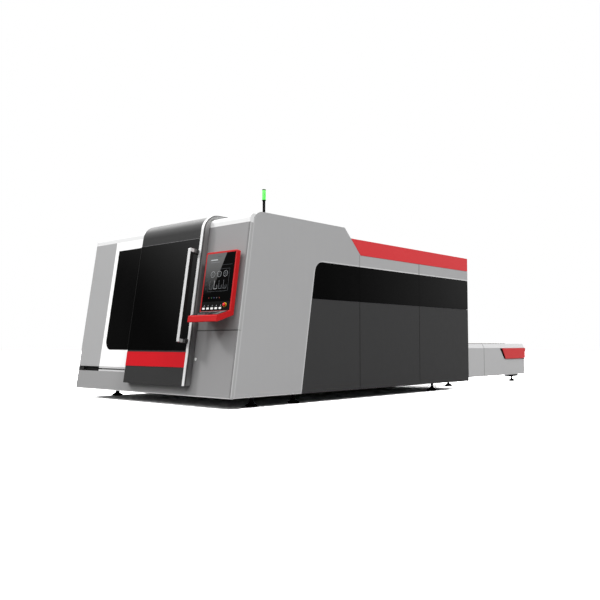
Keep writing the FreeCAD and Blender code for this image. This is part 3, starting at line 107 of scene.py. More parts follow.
def feed(tree, value, socket):
    """Sets a socket to a number or colour, or links another node's output to it."""
    if isinstance(value, bpy.types.NodeSocket):
        tree.links.new(value, socket)
    else:
        socket.default_value = value


def add_node(tree, kind, **values):
    """A shader node of one kind; a value or link goes to the socket or setting of its name."""
    node = tree.nodes.new("ShaderNode" + kind)
    for name, value in values.items():
        if hasattr(node, name):
            setattr(node, name, value)
        else:
            feed(tree, value, node.inputs[name.replace("_", " ")])
    return node


def calc(tree, operation, *values, use_clamp=False):
    """One step of arithmetic in a node tree."""
    node = add_node(tree, "Math", operation=operation, use_clamp=use_clamp)
    for value, socket in zip(values, node.inputs):
        feed(tree, value, socket)
    return node.outputs["Value"]


def ramp(tree, value, start, end, low=0.0, high=1.0):
    """Eases from low to high while the value goes from start to end."""
    return add_node(tree, "MapRange", interpolation_type="SMOOTHSTEP", Value=value,
                    From_Min=start, From_Max=end, To_Min=low, To_Max=high).outputs["Result"]


world = bpy.data.worlds.new("studio")
bpy.context.scene.world = world
world.use_nodes = True
room = world.node_tree
room.nodes.clear()
heading = add_node(room, "TexCoord").outputs["Generated"]
upwards = add_node(room, "SeparateXYZ", Vector=heading).outputs["Z"]
lit = ramp(room, upwards, CEILING_EDGE, CEILING_FULL, ROOM_WALLS, ROOM_CEILING)


def glow_towards(aim, edge, full, strength):
    """Light from one side of the room: full near its aim, fading out by the edge's cosine."""
    nearness = add_node(room, "VectorMath", operation="DOT_PRODUCT", Vector=heading)
    nearness.inputs[1].default_value = aim
    return ramp(room, nearness.outputs["Value"], edge, full, 0.0, strength)


back = calc(room, "MULTIPLY", glow_towards(BACK_AIM, 0.47, 0.93, BACK_LIGHT),
            ramp(room, upwards, 0.0, 0.06))
lit = calc(room, "ADD", calc(room, "ADD", lit, back),
           glow_towards(SOFTBOX_AIM, 0.80, 0.93, SOFTBOX_LIGHT))
rays = add_node(room, "LightPath")
seen = ramp(room, rays.outputs["Is Camera Ray"], 0.0, 1.0, lit, ROOM_SEEN)
background = add_node(room, "Background", Color=(1.0, 1.0, 1.0, 1.0), Strength=seen)
add_node(room, "OutputWorld", Surface=background.outputs["Background"])


def add_sun(name, azimuth, height, strength, softness):
    """A distant light from an azimuth and a height, all three angles in degrees."""
    light = add_object(name, bpy.data.lights.new(name, "SUN"))
    light.location = look_in(light, azimuth, height) * SUN_PLACE
    light.data.energy = strength
    light.data.angle = math.radians(softness)
    light.visible_glossy = False


add_sun("key_light", -62.0, 38.0, 1.9, 9.0)
add_sun("side_light", 82.0, 48.0, 1.8, 8.0)

# Floor: a plain white sheet, lit so that it runs into the white room.  It isn't part of the
# machine.

FLOOR_REACH = 60.0
FLOOR_WHITE, FLOOR_SEEN = 0.12, 2.6


def new_material(name, kind, **values):
    """A new material with one shader, whose constants go straight onto its sockets."""
    material = bpy.data.materials.new(name)
    material.use_nodes = True
    tree = material.node_tree
    tree.nodes.clear()
    shader = add_node(tree, kind, **values)
    add_node(tree, "OutputMaterial", Surface=shader.outputs["BSDF"])
    return material, tree, shader


corners = FLOOR_REACH * np.array([(-1, -1, 0), (1, -1, 0), (1, 1, 0), (-1, 1, 0)], float)
floor_mesh = bpy.data.meshes.new("floor")
floor_mesh.from_pydata(corners.tolist(), [], [(0, 1, 2, 3)])
floor = add_object("floor", floor_mesh)
floor_paint, tree, shader = new_material("floor_paint", "BsdfDiffuse")
rays = add_node(tree, "LightPath")
white = ramp(tree, rays.outputs["Is Camera Ray"], 0.0, 1.0, FLOOR_WHITE, FLOOR_SEEN)
tree.links.new(white, shader.inputs["Color"])
floor_mesh.materials.append(floor_paint)
floor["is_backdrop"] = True

# Light sheet metal: the cheeks, the column, the strips, the roof and the table's covers are folded
# steel sheet, powder coated in a light grey with a fine orange peel and a little dust low down.


def surface(name, **values):
    """A new material of the machine's, with its main shader."""
    return new_material(name, "BsdfPrincipled", **values)


def new_group(name, inputs, outputs):
    """An empty node group with its named sockets, and what it is given, by name."""
    group = bpy.data.node_groups.new(name, "ShaderNodeTree")
    for label, kind, value in inputs:
        socket = group.interface.new_socket(label, in_out="INPUT", socket_type="NodeSocket" + kind)
        socket.default_value = value
    for label, kind in outputs:
        group.interface.new_socket(label, in_out="OUTPUT", socket_type="NodeSocket" + kind)
    return group, group.nodes.new("NodeGroupInput").outputs


def put_out(group, **values):
    """Links values to a node group's named outputs."""
    end = group.nodes.new("NodeGroupOutput")
    for name, value in values.items():
        group.links.new(value, end.inputs[name])


def surface_place(tree):
    """The object coordinates of a point on the surface, as one vector."""
    return add_node(tree, "TexCoord").outputs["Object"]


def axes(tree):
    """The object coordinates of a point on the surface, one by one: X, Y and Z."""
    return add_node(tree, "SeparateXYZ", Vector=surface_place(tree)).outputs


def grain(tree, scale, detail=2.0, rough=0.5, stretch=(1, 1, 1)):
    """Noise on the surface, whose place is first stretched along each axis."""
    mapping = add_node(tree, "Mapping", Scale=stretch, Vector=surface_place(tree))
    return add_node(tree, "TexNoise", Scale=scale, Detail=detail, Roughness=rough,
                    Vector=mapping.outputs["Vector"]).outputs["Fac"]


def swing(tree, noise, amount):
    """Noise that swings by an amount round zero."""
    return calc(tree, "MULTIPLY", calc(tree, "SUBTRACT", noise, 0.5), amount)


def blend(tree, share, first, second, kind="MIX"):
    """Mixes two colours."""
    node = add_node(tree, "Mix", data_type="RGBA", blend_type=kind)
    feed(tree, share, node.inputs[0])
    feed(tree, first, node.inputs[6])
    feed(tree, second, node.inputs[7])
    return node.outputs[2]


def grey(value):
    """A colour whose three channels are alike."""
    return (value, value, value, 1.0)


# Powder coat: slow clouds and faint vertical runs change the tone, dust settles low on the
# machine, and a fine ripple gives the orange peel.

DUST_TONE = (0.30, 0.28, 0.25, 1.0)
DUST_LOW, DUST_HIGH = 0.12, 0.75
powder_coat, given = new_group(
    "powder_coat",
    (("Tone", "Color", grey(0.4)), ("Sheen", "Float", 0.42), ("Cloud", "Float", 0.05),
     ("Runs", "Float", 0.03), ("Dust", "Float", 0.04)),
    (("Color", "Color"), ("Roughness", "Float"), ("Height", "Float")))
cloud = swing(powder_coat, grain(powder_coat, 1.7, 4.0, 0.6), given["Cloud"])
runs = swing(powder_coat, grain(powder_coat, 2.0, 3.0, stretch=(9, 9, 0.5)), given["Runs"])
shift = calc(powder_coat, "ADD", calc(powder_coat, "ADD", cloud, runs), 1.0)
low_down = ramp(powder_coat, axes(powder_coat)["Z"], DUST_LOW, DUST_HIGH, 1.0, 0.0)
specks = ramp(powder_coat, grain(powder_coat, 26.0, 5.0, 0.7), 0.42, 0.75)
dust = calc(powder_coat, "MULTIPLY", calc(powder_coat, "MULTIPLY", low_down, specks),
            given["Dust"], use_clamp=True)
tone = blend(powder_coat, 1.0, given["Tone"], shift, "MULTIPLY")
smears = swing(powder_coat, grain(powder_coat, 7.0, 4.0, 0.65), 0.16)
rough = calc(powder_coat, "ADD", calc(powder_coat, "ADD", smears, given["Sheen"]),
             calc(powder_coat, "MULTIPLY", dust, 0.5), use_clamp=True)
put_out(powder_coat, Color=blend(powder_coat, dust, tone, DUST_TONE), Roughness=rough,
        Height=grain(powder_coat, 520.0, 1.0))


def use_group(tree, group, **values):
    """Places a node group in a tree, sets its named inputs and gives its outputs."""
    node = tree.nodes.new("ShaderNodeGroup")
    node.node_tree = group
    for name, value in values.items():
        feed(tree, value, node.inputs[name])
    return node.outputs


def dress(tree, shader, color, rough, height=None, depth=0.0):
    """Links a colour, a roughness and, where there is one, a raised pattern to the shader."""
    tree.links.new(color, shader.inputs["Base Color"])
    tree.links.new(rough, shader.inputs["Roughness"])
    if height is not None:
        bump = add_node(tree, "Bump", Distance=depth, Height=height)
        tree.links.new(bump.outputs["Normal"], shader.inputs["Normal"])


# Panel joint: the shadow and the dirt in the gap between two sheets, at two places along one
# axis.  The mark is full on the gap's half width and fades out beside it.

JOINT_HALF, JOINT_FADE, JOINT_SHARE = 0.004, 2.2, 0.75
panel_joint, given = new_group(
    "panel_joint",
    (("Place", "Float", 0.0), ("First", "Float", 0.0), ("Second", "Float", 0.0),
     ("Half", "Float", JOINT_HALF)),
    (("Mask", "Float"),))
nearer = calc(panel_joint, "MINIMUM", *[
    calc(panel_joint, "ABSOLUTE", calc(panel_joint, "SUBTRACT", given["Place"], given[label]))
    for label in ("First", "Second")])
faded = calc(panel_joint, "MULTIPLY", given["Half"], JOINT_FADE)
put_out(panel_joint, Mask=ramp(panel_joint, nearer, given["Half"], faded, 1.0, 0.0))

# Wall frame: how far a point lies up the leaning front wall and out from its face.  The wall's
# foot lies a gap above the floor in the plinth's front face, and it leans back 15 cm in a metre.

FLOOR_GAP = 0.131
WALL_LEAN = 0.15
LEAN_LENGTH = math.hypot(1.0, WALL_LEAN)
UPRIGHT_SHARE, LEANING_SHARE = 1.0 / LEAN_LENGTH, WALL_LEAN / LEAN_LENGTH
wall_frame, given = new_group("wall_frame", (), (("Up", "Float"), ("Out", "Float")))
inward = calc(wall_frame, "SUBTRACT", axes(wall_frame)["Y"], FRONT)
rise = calc(wall_frame, "SUBTRACT", axes(wall_frame)["Z"], FLOOR_GAP)
up, out = [calc(wall_frame, operation, calc(wall_frame, "MULTIPLY", rise, rising),
                calc(wall_frame, "MULTIPLY", inward, going_in))
           for operation, rising, going_in in (("ADD", UPRIGHT_SHARE, LEANING_SHARE),
                                               ("SUBTRACT", LEANING_SHARE, UPRIGHT_SHARE))]
put_out(wall_frame, Up=up, Out=out)


def up_wall(height):
    """How far up the wall's slope a height above the floor lies."""
    return (height - FLOOR_GAP) * LEAN_LENGTH


# Coated sheet: what the powder-coated pieces share.  A folded edge carries a painted highlight
# line, and a bay's or plinth's end lies folded in the machine's side.

PEEL = 0.00006
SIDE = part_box("console_panel")[1][0]
PAINTED_FOLD_HIGHLIGHT = grey(0.9)
FOLD_LOW, FOLD_HIGH = FLOOR_GAP + 0.005, FLOOR_GAP + 0.012


def powdered(name, tone, sheen=0.42, specular=0.5, **finish):
    """A new surface with the powder coat in it, whose outputs are still to be linked."""
    material, tree, shader = surface(name, Specular_IOR_Level=specular)
    return material, tree, shader, use_group(tree, powder_coat, Tone=tone, Sheen=sheen, **finish)


def with_joints(tree, color, dark, axis, first, second):
    """The colour with a dark line along two joints, at two places on one axis."""
    mask = use_group(tree, panel_joint, Place=axes(tree)[axis], First=first, Second=second,
                     Half=JOINT_HALF)["Mask"]
    return blend(tree, calc(tree, "MULTIPLY", mask, JOINT_SHARE), color, grey(dark))


def fold_highlight_share(tree, distance, near, far, share):
    """The share of a painted highlight on a fold: full up to the near distance and gone at the far
    one.
    """
    return ramp(tree, distance, near, far, share, 0.0)


def with_flank(tree, color, tone):
    """The colour with painted fold highlights, at its foot and on its folded end in the side
    behind a dark joint.
    """
    out = use_group(tree, wall_frame)["Out"]
    # Painted highlight along the foot's fold, and on the fold of the end in the side.
    lower_fold_highlight = fold_highlight_share(tree, axes(tree)["Z"], FOLD_LOW, FOLD_HIGH, 0.40)
    color = blend(tree, lower_fold_highlight, color, PAINTED_FOLD_HIGHLIGHT)
    end = blend(tree, ramp(tree, out, -0.036, -0.012, 0.0, 0.30), grey(tone), PAINTED_FOLD_HIGHLIGHT)
    end = blend(tree, ramp(tree, out, -0.010, -0.008), end, grey(0.09))
    side = ramp(tree, calc(tree, "ABSOLUTE", axes(tree)["X"]), SIDE - 0.0016, SIDE - 0.0006)
    return blend(tree, side, color, end)


def coated(name, tone, joints=None, flank=None, **finish):
    """Powder-coated sheet of one tone; joints are an axis and two places, a flank is a tone."""
    material, tree, shader, layer = powdered(name, tone, **finish)
    color = layer["Color"]
    if joints:
        color = with_joints(tree, color, tone[0] * 0.1, *joints)
    if flank:
        color = with_flank(tree, color, flank)
    dress(tree, shader, color, layer["Roughness"], layer["Height"], PEEL)
    return material


def give(material, *names):
    """Puts a material on each of these CAD nodes, in place of the plain one it came with."""
    for name in names:
        mesh = nodes[name].data
        mesh.materials.clear()
        mesh.materials.append(material)


column_coat = coated("column_coat", (0.340, 0.340, 0.342, 1.0))
give(column_coat, "front_column")
give(coated("roof_coat", (0.22, 0.22, 0.222, 1.0), sheen=0.5, Dust=0.0, Cloud=0.08),
     "roof_panels")
give(coated("rear_coat", grey(0.46), sheen=0.5, Dust=0.0, Cloud=0.08), "rear_wall")

# Cheeks and strips: the large light side sheets and the narrow ones over the black band.  A
# painted highlight runs along the cheeks' rolled front edge and foot, and along the folds beside
# the dark panels.

BAND_TOP = 1.786
FIRST_JOINT, SECOND_JOINT = FRONT + 2.370, FRONT + 3.847
CHEEK_FOOT = FRONT + 0.0576
DIVIDE_FOOT, DIVIDE_LEAN, DIVIDE_CORNER = FRONT + 1.188, 0.166, 0.150


def behind_line(tree, foot, lean):
    """How far a point lies behind a leaning line, which starts from its foot at the floor gap."""
    line = calc(tree, "MULTIPLY_ADD", axes(tree)["Z"], lean, foot - FLOOR_GAP * lean)
    return calc(tree, "SUBTRACT", axes(tree)["Y"], line)


def short_of_corner(tree, distance):
    """The square of how much a distance from an edge is short of the corner's radius."""
    short = calc(tree, "MAXIMUM", calc(tree, "SUBTRACT", DIVIDE_CORNER, distance), 0.0)
    return calc(tree, "POWER", short, 2.0)


cheek_coat, tree, shader, layer = powdered("cheek_coat", (0.360, 0.360, 0.363, 1.0), sheen=0.45)
# Painted highlights along the rolled front edge, the folds beside the dark panels and the foot.
front_edge_highlight = fold_highlight_share(tree, behind_line(tree, CHEEK_FOOT, WALL_LEAN), 0.010, 0.026, 0.14)
divide = short_of_corner(tree, behind_line(tree, DIVIDE_FOOT, DIVIDE_LEAN))
band = short_of_corner(tree, calc(tree, "SUBTRACT", BAND_TOP, axes(tree)["Z"]))
from_divide = calc(tree, "SUBTRACT", calc(tree, "SQRT", calc(tree, "ADD", divide, band)),
                   DIVIDE_CORNER)
painted_edge_highlight = calc(tree, "MAXIMUM", front_edge_highlight, fold_highlight_share(tree, from_divide, 0.010, 0.022, 0.30))
painted_edge_highlight = calc(tree, "MAXIMUM", painted_edge_highlight,
                  fold_highlight_share(tree, axes(tree)["Z"], FOLD_LOW, FOLD_HIGH, 0.30))
dress(tree, shader, blend(tree, painted_edge_highlight, layer["Color"], PAINTED_FOLD_HIGHLIGHT), layer["Roughness"],
      layer["Height"], PEEL)
give(cheek_coat, "right_cheek", "left_cheek")
strip_coat, tree, shader, layer = powdered("strip_coat", (0.375, 0.375, 0.378, 1.0), sheen=0.45)
# Painted highlight along the strip's lower fold over the band.
lower_fold_highlight = fold_highlight_share(tree, axes(tree)["Z"], BAND_TOP + 0.010, BAND_TOP + 0.020, 0.42)
color = blend(tree, lower_fold_highlight, layer["Color"], PAINTED_FOLD_HIGHLIGHT)
dress(tree, shader, with_joints(tree, color, 0.035, "Y", FIRST_JOINT, SECOND_JOINT),
      layer["Roughness"], layer["Height"], PEEL)
give(strip_coat, "upper_strips")

# Front wall: a white panel between the light column and the plinth and operator's bay, under a
# pale hood with a rounded nose.  The plinth and the bay are painted a darker grey than the column,
# a painted shade where the light falls off towards the right.

COVER_TOP = 0.8958
give(coated("white_coat", (0.88, 0.88, 0.875, 1.0), sheen=0.4, Dust=0.1, Cloud=0.02, Runs=0.01),
     "front_panel")
# Painted shade: the bay's and plinth's tones are darker than the column's; their ends in the side
# keep the lighter tone.
give(coated("bay_shaded_coat", (0.245, 0.243, 0.245, 1.0), Cloud=0.07, flank=0.36,
            joints=("Z", COVER_TOP, COVER_TOP)), "console_panel", "service_cover")
give(coated("plinth_shaded_coat", (0.270, 0.269, 0.270, 1.0), Cloud=0.07, flank=0.36), "front_plinth")
give(coated("hood_coat", grey(0.70), sheen=0.38, Dust=0.0, Cloud=0.03), "front_hood")

# Dark side panels: folded sheet with a charcoal powder coat, under the machine's black band of
# back-painted gloss sheet.

give(coated("charcoal_coat", (0.033, 0.033, 0.0335, 1.0), sheen=0.5, specular=0.3, Cloud=0.08,
            Runs=0.05, Dust=0.0, joints=("Y", FIRST_JOINT, SECOND_JOINT)),
     "right_lower_panels", "left_lower_panels")


def gloss_sheet(name, tone, shine, specular, **values):
    """Smooth gloss sheet or glass with faint cloudy smears in its shine."""
    material, tree, shader = surface(name, Specular_IOR_Level=specular, **values)
    dress(tree, shader, blend(tree, grain(tree, 1.3, 3.0), grey(tone * 0.8), grey(tone * 1.2)),
          ramp(tree, grain(tree, 6.0, 4.0, 0.7), 0.3, 0.8, shine * 0.7, shine * 1.4),
          grain(tree, 2.2), 0.0004)
    return material


give(gloss_sheet("band_gloss", 0.0018, 0.10, 0.3), "right_window_band", "left_window_band")
give(gloss_sheet("window_glass", 0.0025, 0.07, 0.3), "front_window")

# Red sheet: the roof beams and the table's corner caps, with the slanted black strips that lead
# into the caps on the table's long sides.

give(coated("beam_red", (0.640, 0.037, 0.043, 1.0), sheen=0.36, specular=0.4, Cloud=0.06,
            Dust=0.0), "right_roof_beam", "left_roof_beam")
give(coated("cap_red", (0.58, 0.036, 0.038, 1.0), sheen=0.4, specular=0.4, Cloud=0.05, Dust=0.1),
     "table_corner_caps")


def new_piece(name, grids, material, body, smooth=40.0, tints=None):
    """One object from closed grids of points, with doubles merged and faces turned outwards."""
    points, faces, shades = [], [], []
    start = 0
    for number, (grid, wrap) in enumerate(grids):
        rows, columns = grid.shape[:2]
        ids = start + np.arange(rows * columns).reshape(rows, columns)
        if wrap:
            ids = np.concatenate([ids, ids[:, :1]], axis=1)
        quads = np.stack([ids[:-1, :-1], ids[:-1, 1:], ids[1:, 1:], ids[1:, :-1]], axis=-1)
        points.append(grid.reshape(-1, 3))
        faces.append(quads.reshape(-1, 4))
        shades.append(np.full(rows * columns, number))
        start += rows * columns
    mesh = bpy.data.meshes.new(name)
    mesh.from_pydata(np.concatenate(points).tolist(), [], np.concatenate(faces).tolist())
    if tints is not None:
        layer = mesh.color_attributes.new("tint", "FLOAT_COLOR", "POINT")
        values = np.array(tints)[np.concatenate(shades)]
        layer.data.foreach_set("color", np.column_stack([values, np.ones(len(values))]).ravel())
    shape = bmesh.new()
    shape.from_mesh(mesh)
    bmesh.ops.remove_doubles(shape, verts=shape.verts, dist=1e-6)
    bmesh.ops.recalc_face_normals(shape, faces=shape.faces)
    shape.to_mesh(mesh)
    shape.free()
    mesh.shade_smooth()
    mesh.set_sharp_from_angle(angle=math.radians(smooth))
    mesh.materials.append(material)
    piece = add_object(name, mesh)
    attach(piece, body)
    return piece


def stacked(rings, place):
    """A closed grid of rings, each an outline at its own level, carried to their place."""
    grid = np.stack([np.column_stack([ring, np.full(len(ring), level)]) for ring, level in rings])
    return place(grid[..., 0], grid[..., 1], grid[..., 2]), True


def slab(outline, low, high, place):
    """A plate: its outline at both heights, drawn in to a middle point at each end."""
    outline = np.asarray(outline, float)
    middle = np.broadcast_to(outline.mean(axis=0), outline.shape)
    return stacked([(middle, low), (outline, low), (outline, high), (middle, high)], place)


TABLE_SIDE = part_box("table_side_covers")[1][0]


def on_side(side):
    """Places a plate on the table's long side: along, up, and out from the cover's face."""
    return lambda along, up, out: np.stack([side * (TABLE_SIDE + out), FRONT + along, up], axis=-1)


LEAD_STRIP = ((7.620, 0.651), (7.688, 0.651), (7.833, 0.451), (7.791, 0.451))
strip_black = gloss_sheet("strip_black", 0.0015, 0.5, 0.1)
new_piece("cap_lead_strips", [slab(LEAD_STRIP, 0.0002, 0.003, on_side(side))
                              for side in (1.0, -1.0)], strip_black, "machine")

# Brushed metal: fine lines run one way across the tone and the shine, with faint stains over
# them.  The door, the rails, the gantry and the frame's steel have it.

BRUSH_DEPTH = 0.00003
brushed, given = new_group(
    "brushed_metal",
    (("Tone", "Color", grey(0.6)), ("Shine", "Float", 0.3), ("Contrast", "Float", 0.15),
     ("Stretch", "Vector", (1.0, 1.0, 1.0))),
    (("Color", "Color"), ("Roughness", "Float"), ("Height", "Float")))
hairs = grain(brushed, 1.0, 4.0, 0.75, given["Stretch"])
line = calc(brushed, "SUBTRACT", hairs, 0.5)
shift = calc(brushed, "MULTIPLY_ADD", line, given["Contrast"], 1.0)
stains = swing(brushed, grain(brushed, 9.0, 4.0, 0.6), 0.22)
rough = calc(brushed, "ADD", calc(brushed, "MULTIPLY_ADD", line, 0.2, stains), given["Shine"],
             use_clamp=True)
put_out(brushed, Color=blend(brushed, 1.0, given["Tone"], shift, "MULTIPLY"), Roughness=rough,
        Height=hairs)


def ground(name, tone, shine, contrast, stretch, **values):
    """A new surface with the brushed layer in it, whose outputs are still to be linked."""
    material, tree, shader = surface(name, **values)
    return material, tree, shader, use_group(tree, brushed, Tone=tone, Shine=shine,
                                             Contrast=contrast, Stretch=stretch)


def metal(name, tone, shine, stretch=(220.0, 220.0, 6.0), contrast=0.15, metallic=1.0):
    """Brushed or ground metal; the stretch sets which way its fine lines run."""
    material, tree, shader, layer = ground(name, tone, shine, contrast, stretch, Metallic=metallic)
    dress(tree, shader, layer["Color"], layer["Roughness"], layer["Height"], BRUSH_DEPTH)
    return material


# Sliding door: a charcoal shell whose bend is brushed under its lacquer and painted lighter on
# top, a painted reflection of the bright ceiling, a black glass, a red stripe, and a bright edge
# strip with a rubber along its outer edge.  It runs on steel guides; the service cover beside it
# has a chromed lock.

BEND_LIGHT_LOW, BEND_LIGHT_HIGH = 2.190, 2.268
DOOR_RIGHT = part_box("door_edge_strip")[1][0]
RUBBER_INNER, RUBBER_OUTER = DOOR_RIGHT - 0.0180, DOOR_RIGHT - 0.0172
shell_lacquer, tree, shader, layer = ground("shell_lacquer", grey(0.034), 0.36, 0.25,
                                            (260.0, 3.0, 3.0), Metallic=0.1,
                                            Specular_IOR_Level=0.18)
# Painted reflection: the bend grows lighter towards its top.
painted_bend_light = ramp(tree, axes(tree)["Z"], BEND_LIGHT_LOW, BEND_LIGHT_HIGH)
dress(tree, shader, blend(tree, painted_bend_light, layer["Color"], grey(0.14)), layer["Roughness"],
      layer["Height"], BRUSH_DEPTH)
give(shell_lacquer, "door_shell")
give(gloss_sheet("door_glass", 0.0016, 0.05, 0.32, Transmission_Weight=0.25), "door_glass")
give(coated("stripe_red", (0.50, 0.007, 0.013, 1.0), specular=0.15, Cloud=0.03, Dust=0.0),
     "door_stripe")
strip_bright, tree, shader, layer = ground("strip_bright", grey(0.78), 0.42, 0.05,
                                           (4.0, 60.0, 60.0), Metallic=0.3)
rubber = ramp(tree, axes(tree)["X"], RUBBER_INNER, RUBBER_OUTER)
dress(tree, shader, blend(tree, rubber, layer["Color"], grey(0.05)), layer["Roughness"])
give(strip_bright, "door_edge_strip")
give(metal("guide_steel", (0.35, 0.35, 0.36, 1.0), 0.45), "door_guides")
give(metal("lock_chrome", grey(0.92), 0.3, (200.0, 200.0, 200.0), 0.03, 0.2), "service_lock")

# Door handle: a satin square bar whose outer side is painted black along most of its length, a
# painted dark reflection.  It stands on dark stand-offs, which screw through black sleeves into
# the door.

HANDLE_LEFT, HANDLE_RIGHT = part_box("door_handle")[0][0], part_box("door_handle")[1][0]
HANDLE_FOOT, HANDLE_HEAD = up_wall(0.734), up_wall(1.856)
DARK_SIDE_LOW, DARK_SIDE_HIGH = 0.650, 1.702
BAR_OUT, SLEEVE_OUT = 0.156, 0.108
DOOR_SKIN = 0.076
bar_satin, tree, shader, layer = ground("bar_satin", grey(0.76), 0.34, 0.05, (200.0, 200.0, 4.0),
                                        Metallic=0.45)
wall = use_group(tree, wall_frame)
outer_side = ramp(tree, axes(tree)["X"], HANDLE_RIGHT - 0.0008, HANDLE_RIGHT - 0.0004)
# Painted dark reflection on the bar's outer side, which is also made rougher there.
painted_dark_side = calc(tree, "MULTIPLY", calc(
    tree, "MULTIPLY", ramp(tree, wall["Up"], DARK_SIDE_LOW, DARK_SIDE_LOW + 0.001),
    ramp(tree, wall["Up"], DARK_SIDE_HIGH, DARK_SIDE_HIGH + 0.001, 1.0, 0.0)), outer_side)
color = blend(tree, ramp(tree, wall["Out"], BAR_OUT, BAR_OUT + 0.002, 1.0, 0.0), layer["Color"],
              grey(0.15))
color = blend(tree, ramp(tree, wall["Out"], SLEEVE_OUT, SLEEVE_OUT + 0.002, 1.0, 0.0), color,
              grey(0.004))
dress(tree, shader, blend(tree, painted_dark_side, color, grey(0.003)),
      calc(tree, "MULTIPLY_ADD", painted_dark_side, 0.3, layer["Roughness"]))
give(bar_satin, "door_handle")


def on_wall(across, up, out):
    """The leaning front wall's frame: up runs along its slope and out stands off its face."""
    across, up, out = np.broadcast_arrays(across, up, out)
    return np.stack([across, FRONT + up * LEANING_SHARE - out * UPRIGHT_SHARE,
                     FLOOR_GAP + up * UPRIGHT_SHARE + out * LEANING_SHARE], axis=-1)


def rounded(left, right, low, high, radius, steps=3):
    """A rectangle with quarter-circle corners, as one closed outline."""
    turn = np.linspace(0.0, math.pi / 2, steps)
    corners = []
    for number, (middle_x, middle_y) in enumerate(((right - radius, high - radius),
                                                   (left + radius, high - radius),
                                                   (left + radius, low + radius),
                                                   (right - radius, low + radius))):
        angle = turn + number * math.pi / 2
        corners.append(np.column_stack([middle_x + radius * np.cos(angle),
                                        middle_y + radius * np.sin(angle)]))
    return np.concatenate(corners)


def cushioned(outline, low, high, soft, place):
    """A plate whose top edge is rounded: the outline shrinks a little over its last step."""
    centre = outline.mean(axis=0)
    half = np.abs(outline - centre).max(axis=0)
    drawn = centre + (outline - centre) * (half - soft) / half
    middle = np.broadcast_to(centre, outline.shape)
    return stacked([(middle, low), (outline, low), (outline, high - soft), (drawn, high),
                    (middle, high)], place)


sleeve_black, tree, shader = surface("sleeve_black", Specular_IOR_Level=0.4)
dress(tree, shader, blend(tree, grain(tree, 40.0), grey(0.008), grey(0.016)),
      ramp(tree, grain(tree, 300.0), 0.3, 0.7, 0.32, 0.48), grain(tree, 900.0), 0.00004)
new_piece("handle_sleeves", [
    cushioned(rounded(HANDLE_LEFT - 0.002, HANDLE_RIGHT + 0.002, low - 0.002, low + 0.052, 0.006,
                      4), DOOR_SKIN + 0.006, DOOR_SKIN + 0.046, 0.003, on_wall)
    for low in (HANDLE_FOOT, HANDLE_HEAD - 0.050)], sleeve_black, "door")

# Glass bead: a thin aluminium bead is pressed in along the top of the door's glass, and a dark
# one along its left edge.

GLASS_LEFT, GLASS_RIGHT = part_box("door_glass")[0][0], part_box("door_glass")[1][0]
GLASS_TOP, GLASS_FOOT = up_wall(2.003), up_wall(0.652)
BEAD_RADIUS = 0.0015
bead_metal = metal("bead_aluminium", (0.10, 0.10, 0.102, 1.0), 0.5, (4.0, 200.0, 200.0), 0.1, 0.2)
new_piece("glass_bead_top", [cushioned(
    rounded(GLASS_LEFT, GLASS_RIGHT - 0.001, GLASS_TOP + 0.0002, GLASS_TOP + 0.0062, BEAD_RADIUS),
    DOOR_SKIN + 0.0002, DOOR_SKIN + 0.0058, 0.0012, on_wall)], bead_metal, "door")
bead_dark = coated("bead_dark", grey(0.012), sheen=0.5, specular=0.15, Dust=0.0)
new_piece("glass_bead_left", [cushioned(
    rounded(GLASS_LEFT - 0.0002, GLASS_LEFT + 0.0048, GLASS_FOOT + 0.001, GLASS_TOP - 0.001,
            BEAD_RADIUS),
    DOOR_SKIN + 0.0061, DOOR_SKIN + 0.0075, 0.0006, on_wall)], bead_dark, "door")

# Door end plate: the brushed plate that closes the shell's right end.  Its outline follows the
# door up the wall, round the bend and back over the roof.  It is painted lighter up the bend, a
# painted reflection of the studio.

DOOR_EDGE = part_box("door_shell")[1][0]
DOOR_FOOT, ROOF_REACH = 0.2505, 0.758
OUTER_TOP, OUTER_OUT, OUTER_BEND = 2.3075, DOOR_SKIN - 0.0015, 0.2125
INNER_TOP, INNER_OUT, INNER_BEND = 2.2575, 0.0075, 0.0635
BEND_STEPS = 26


def bend_line(height, out, radius):
    """The door's side outline at one depth: up the wall, round the bend and back over the roof.

    The bend is an arc between the sloping line and the level one, with the given radius.
    """
    foot = on_wall(0.0, up_wall(DOOR_FOOT - out * LEANING_SHARE), out)
    corner = np.array([FRONT + (height - FLOOR_GAP) * WALL_LEAN - out * LEAN_LENGTH, height])
    slope = math.atan2(1.0, WALL_LEAN)
    centre = corner + np.array([radius / math.tan((math.pi - slope) / 2), -radius])
    angle = np.linspace(slope + math.pi / 2, math.pi / 2, BEND_STEPS - 2)
    arc = centre + radius * np.column_stack([np.cos(angle), np.sin(angle)])
    return np.concatenate([[foot[1:]], arc, [[FRONT + ROOF_REACH, height]]])


end_outer = bend_line(OUTER_TOP, OUTER_OUT, OUTER_BEND)
end_inner = bend_line(INNER_TOP, INNER_OUT, INNER_BEND)
ring = np.stack([end_outer, end_outer, end_inner, end_inner], axis=1)
depths = DOOR_EDGE + np.array([0.0002, 0.0016, 0.0016, 0.0002])
depths = np.broadcast_to(depths[None, :, None], (BEND_STEPS, 4, 1))
end_plate = np.concatenate([depths, ring], axis=2)
foot_end, roof_end = (np.broadcast_to(end_plate[row].mean(axis=0), (1, 4, 3)) for row in (0, -1))
end_metal, tree, shader, layer = ground("end_plate_metal", grey(1.0), 0.4, 0.9,
                                        (200.0, 34.0, 1.2), Metallic=0.2, Specular_IOR_Level=0.3)
# Painted reflection: the plate grows lighter up the bend.
end_reflection_tone = blend(tree, ramp(tree, axes(tree)["Z"], 2.00, 2.27), grey(0.16), grey(0.30))
dress(tree, shader, blend(tree, 1.0, layer["Color"], end_reflection_tone, "MULTIPLY"), layer["Roughness"],
      layer["Height"], 0.00005)
new_piece("door_end_plate", [(np.concatenate([foot_end, end_plate, roof_end]), True)], end_metal,
          "door")
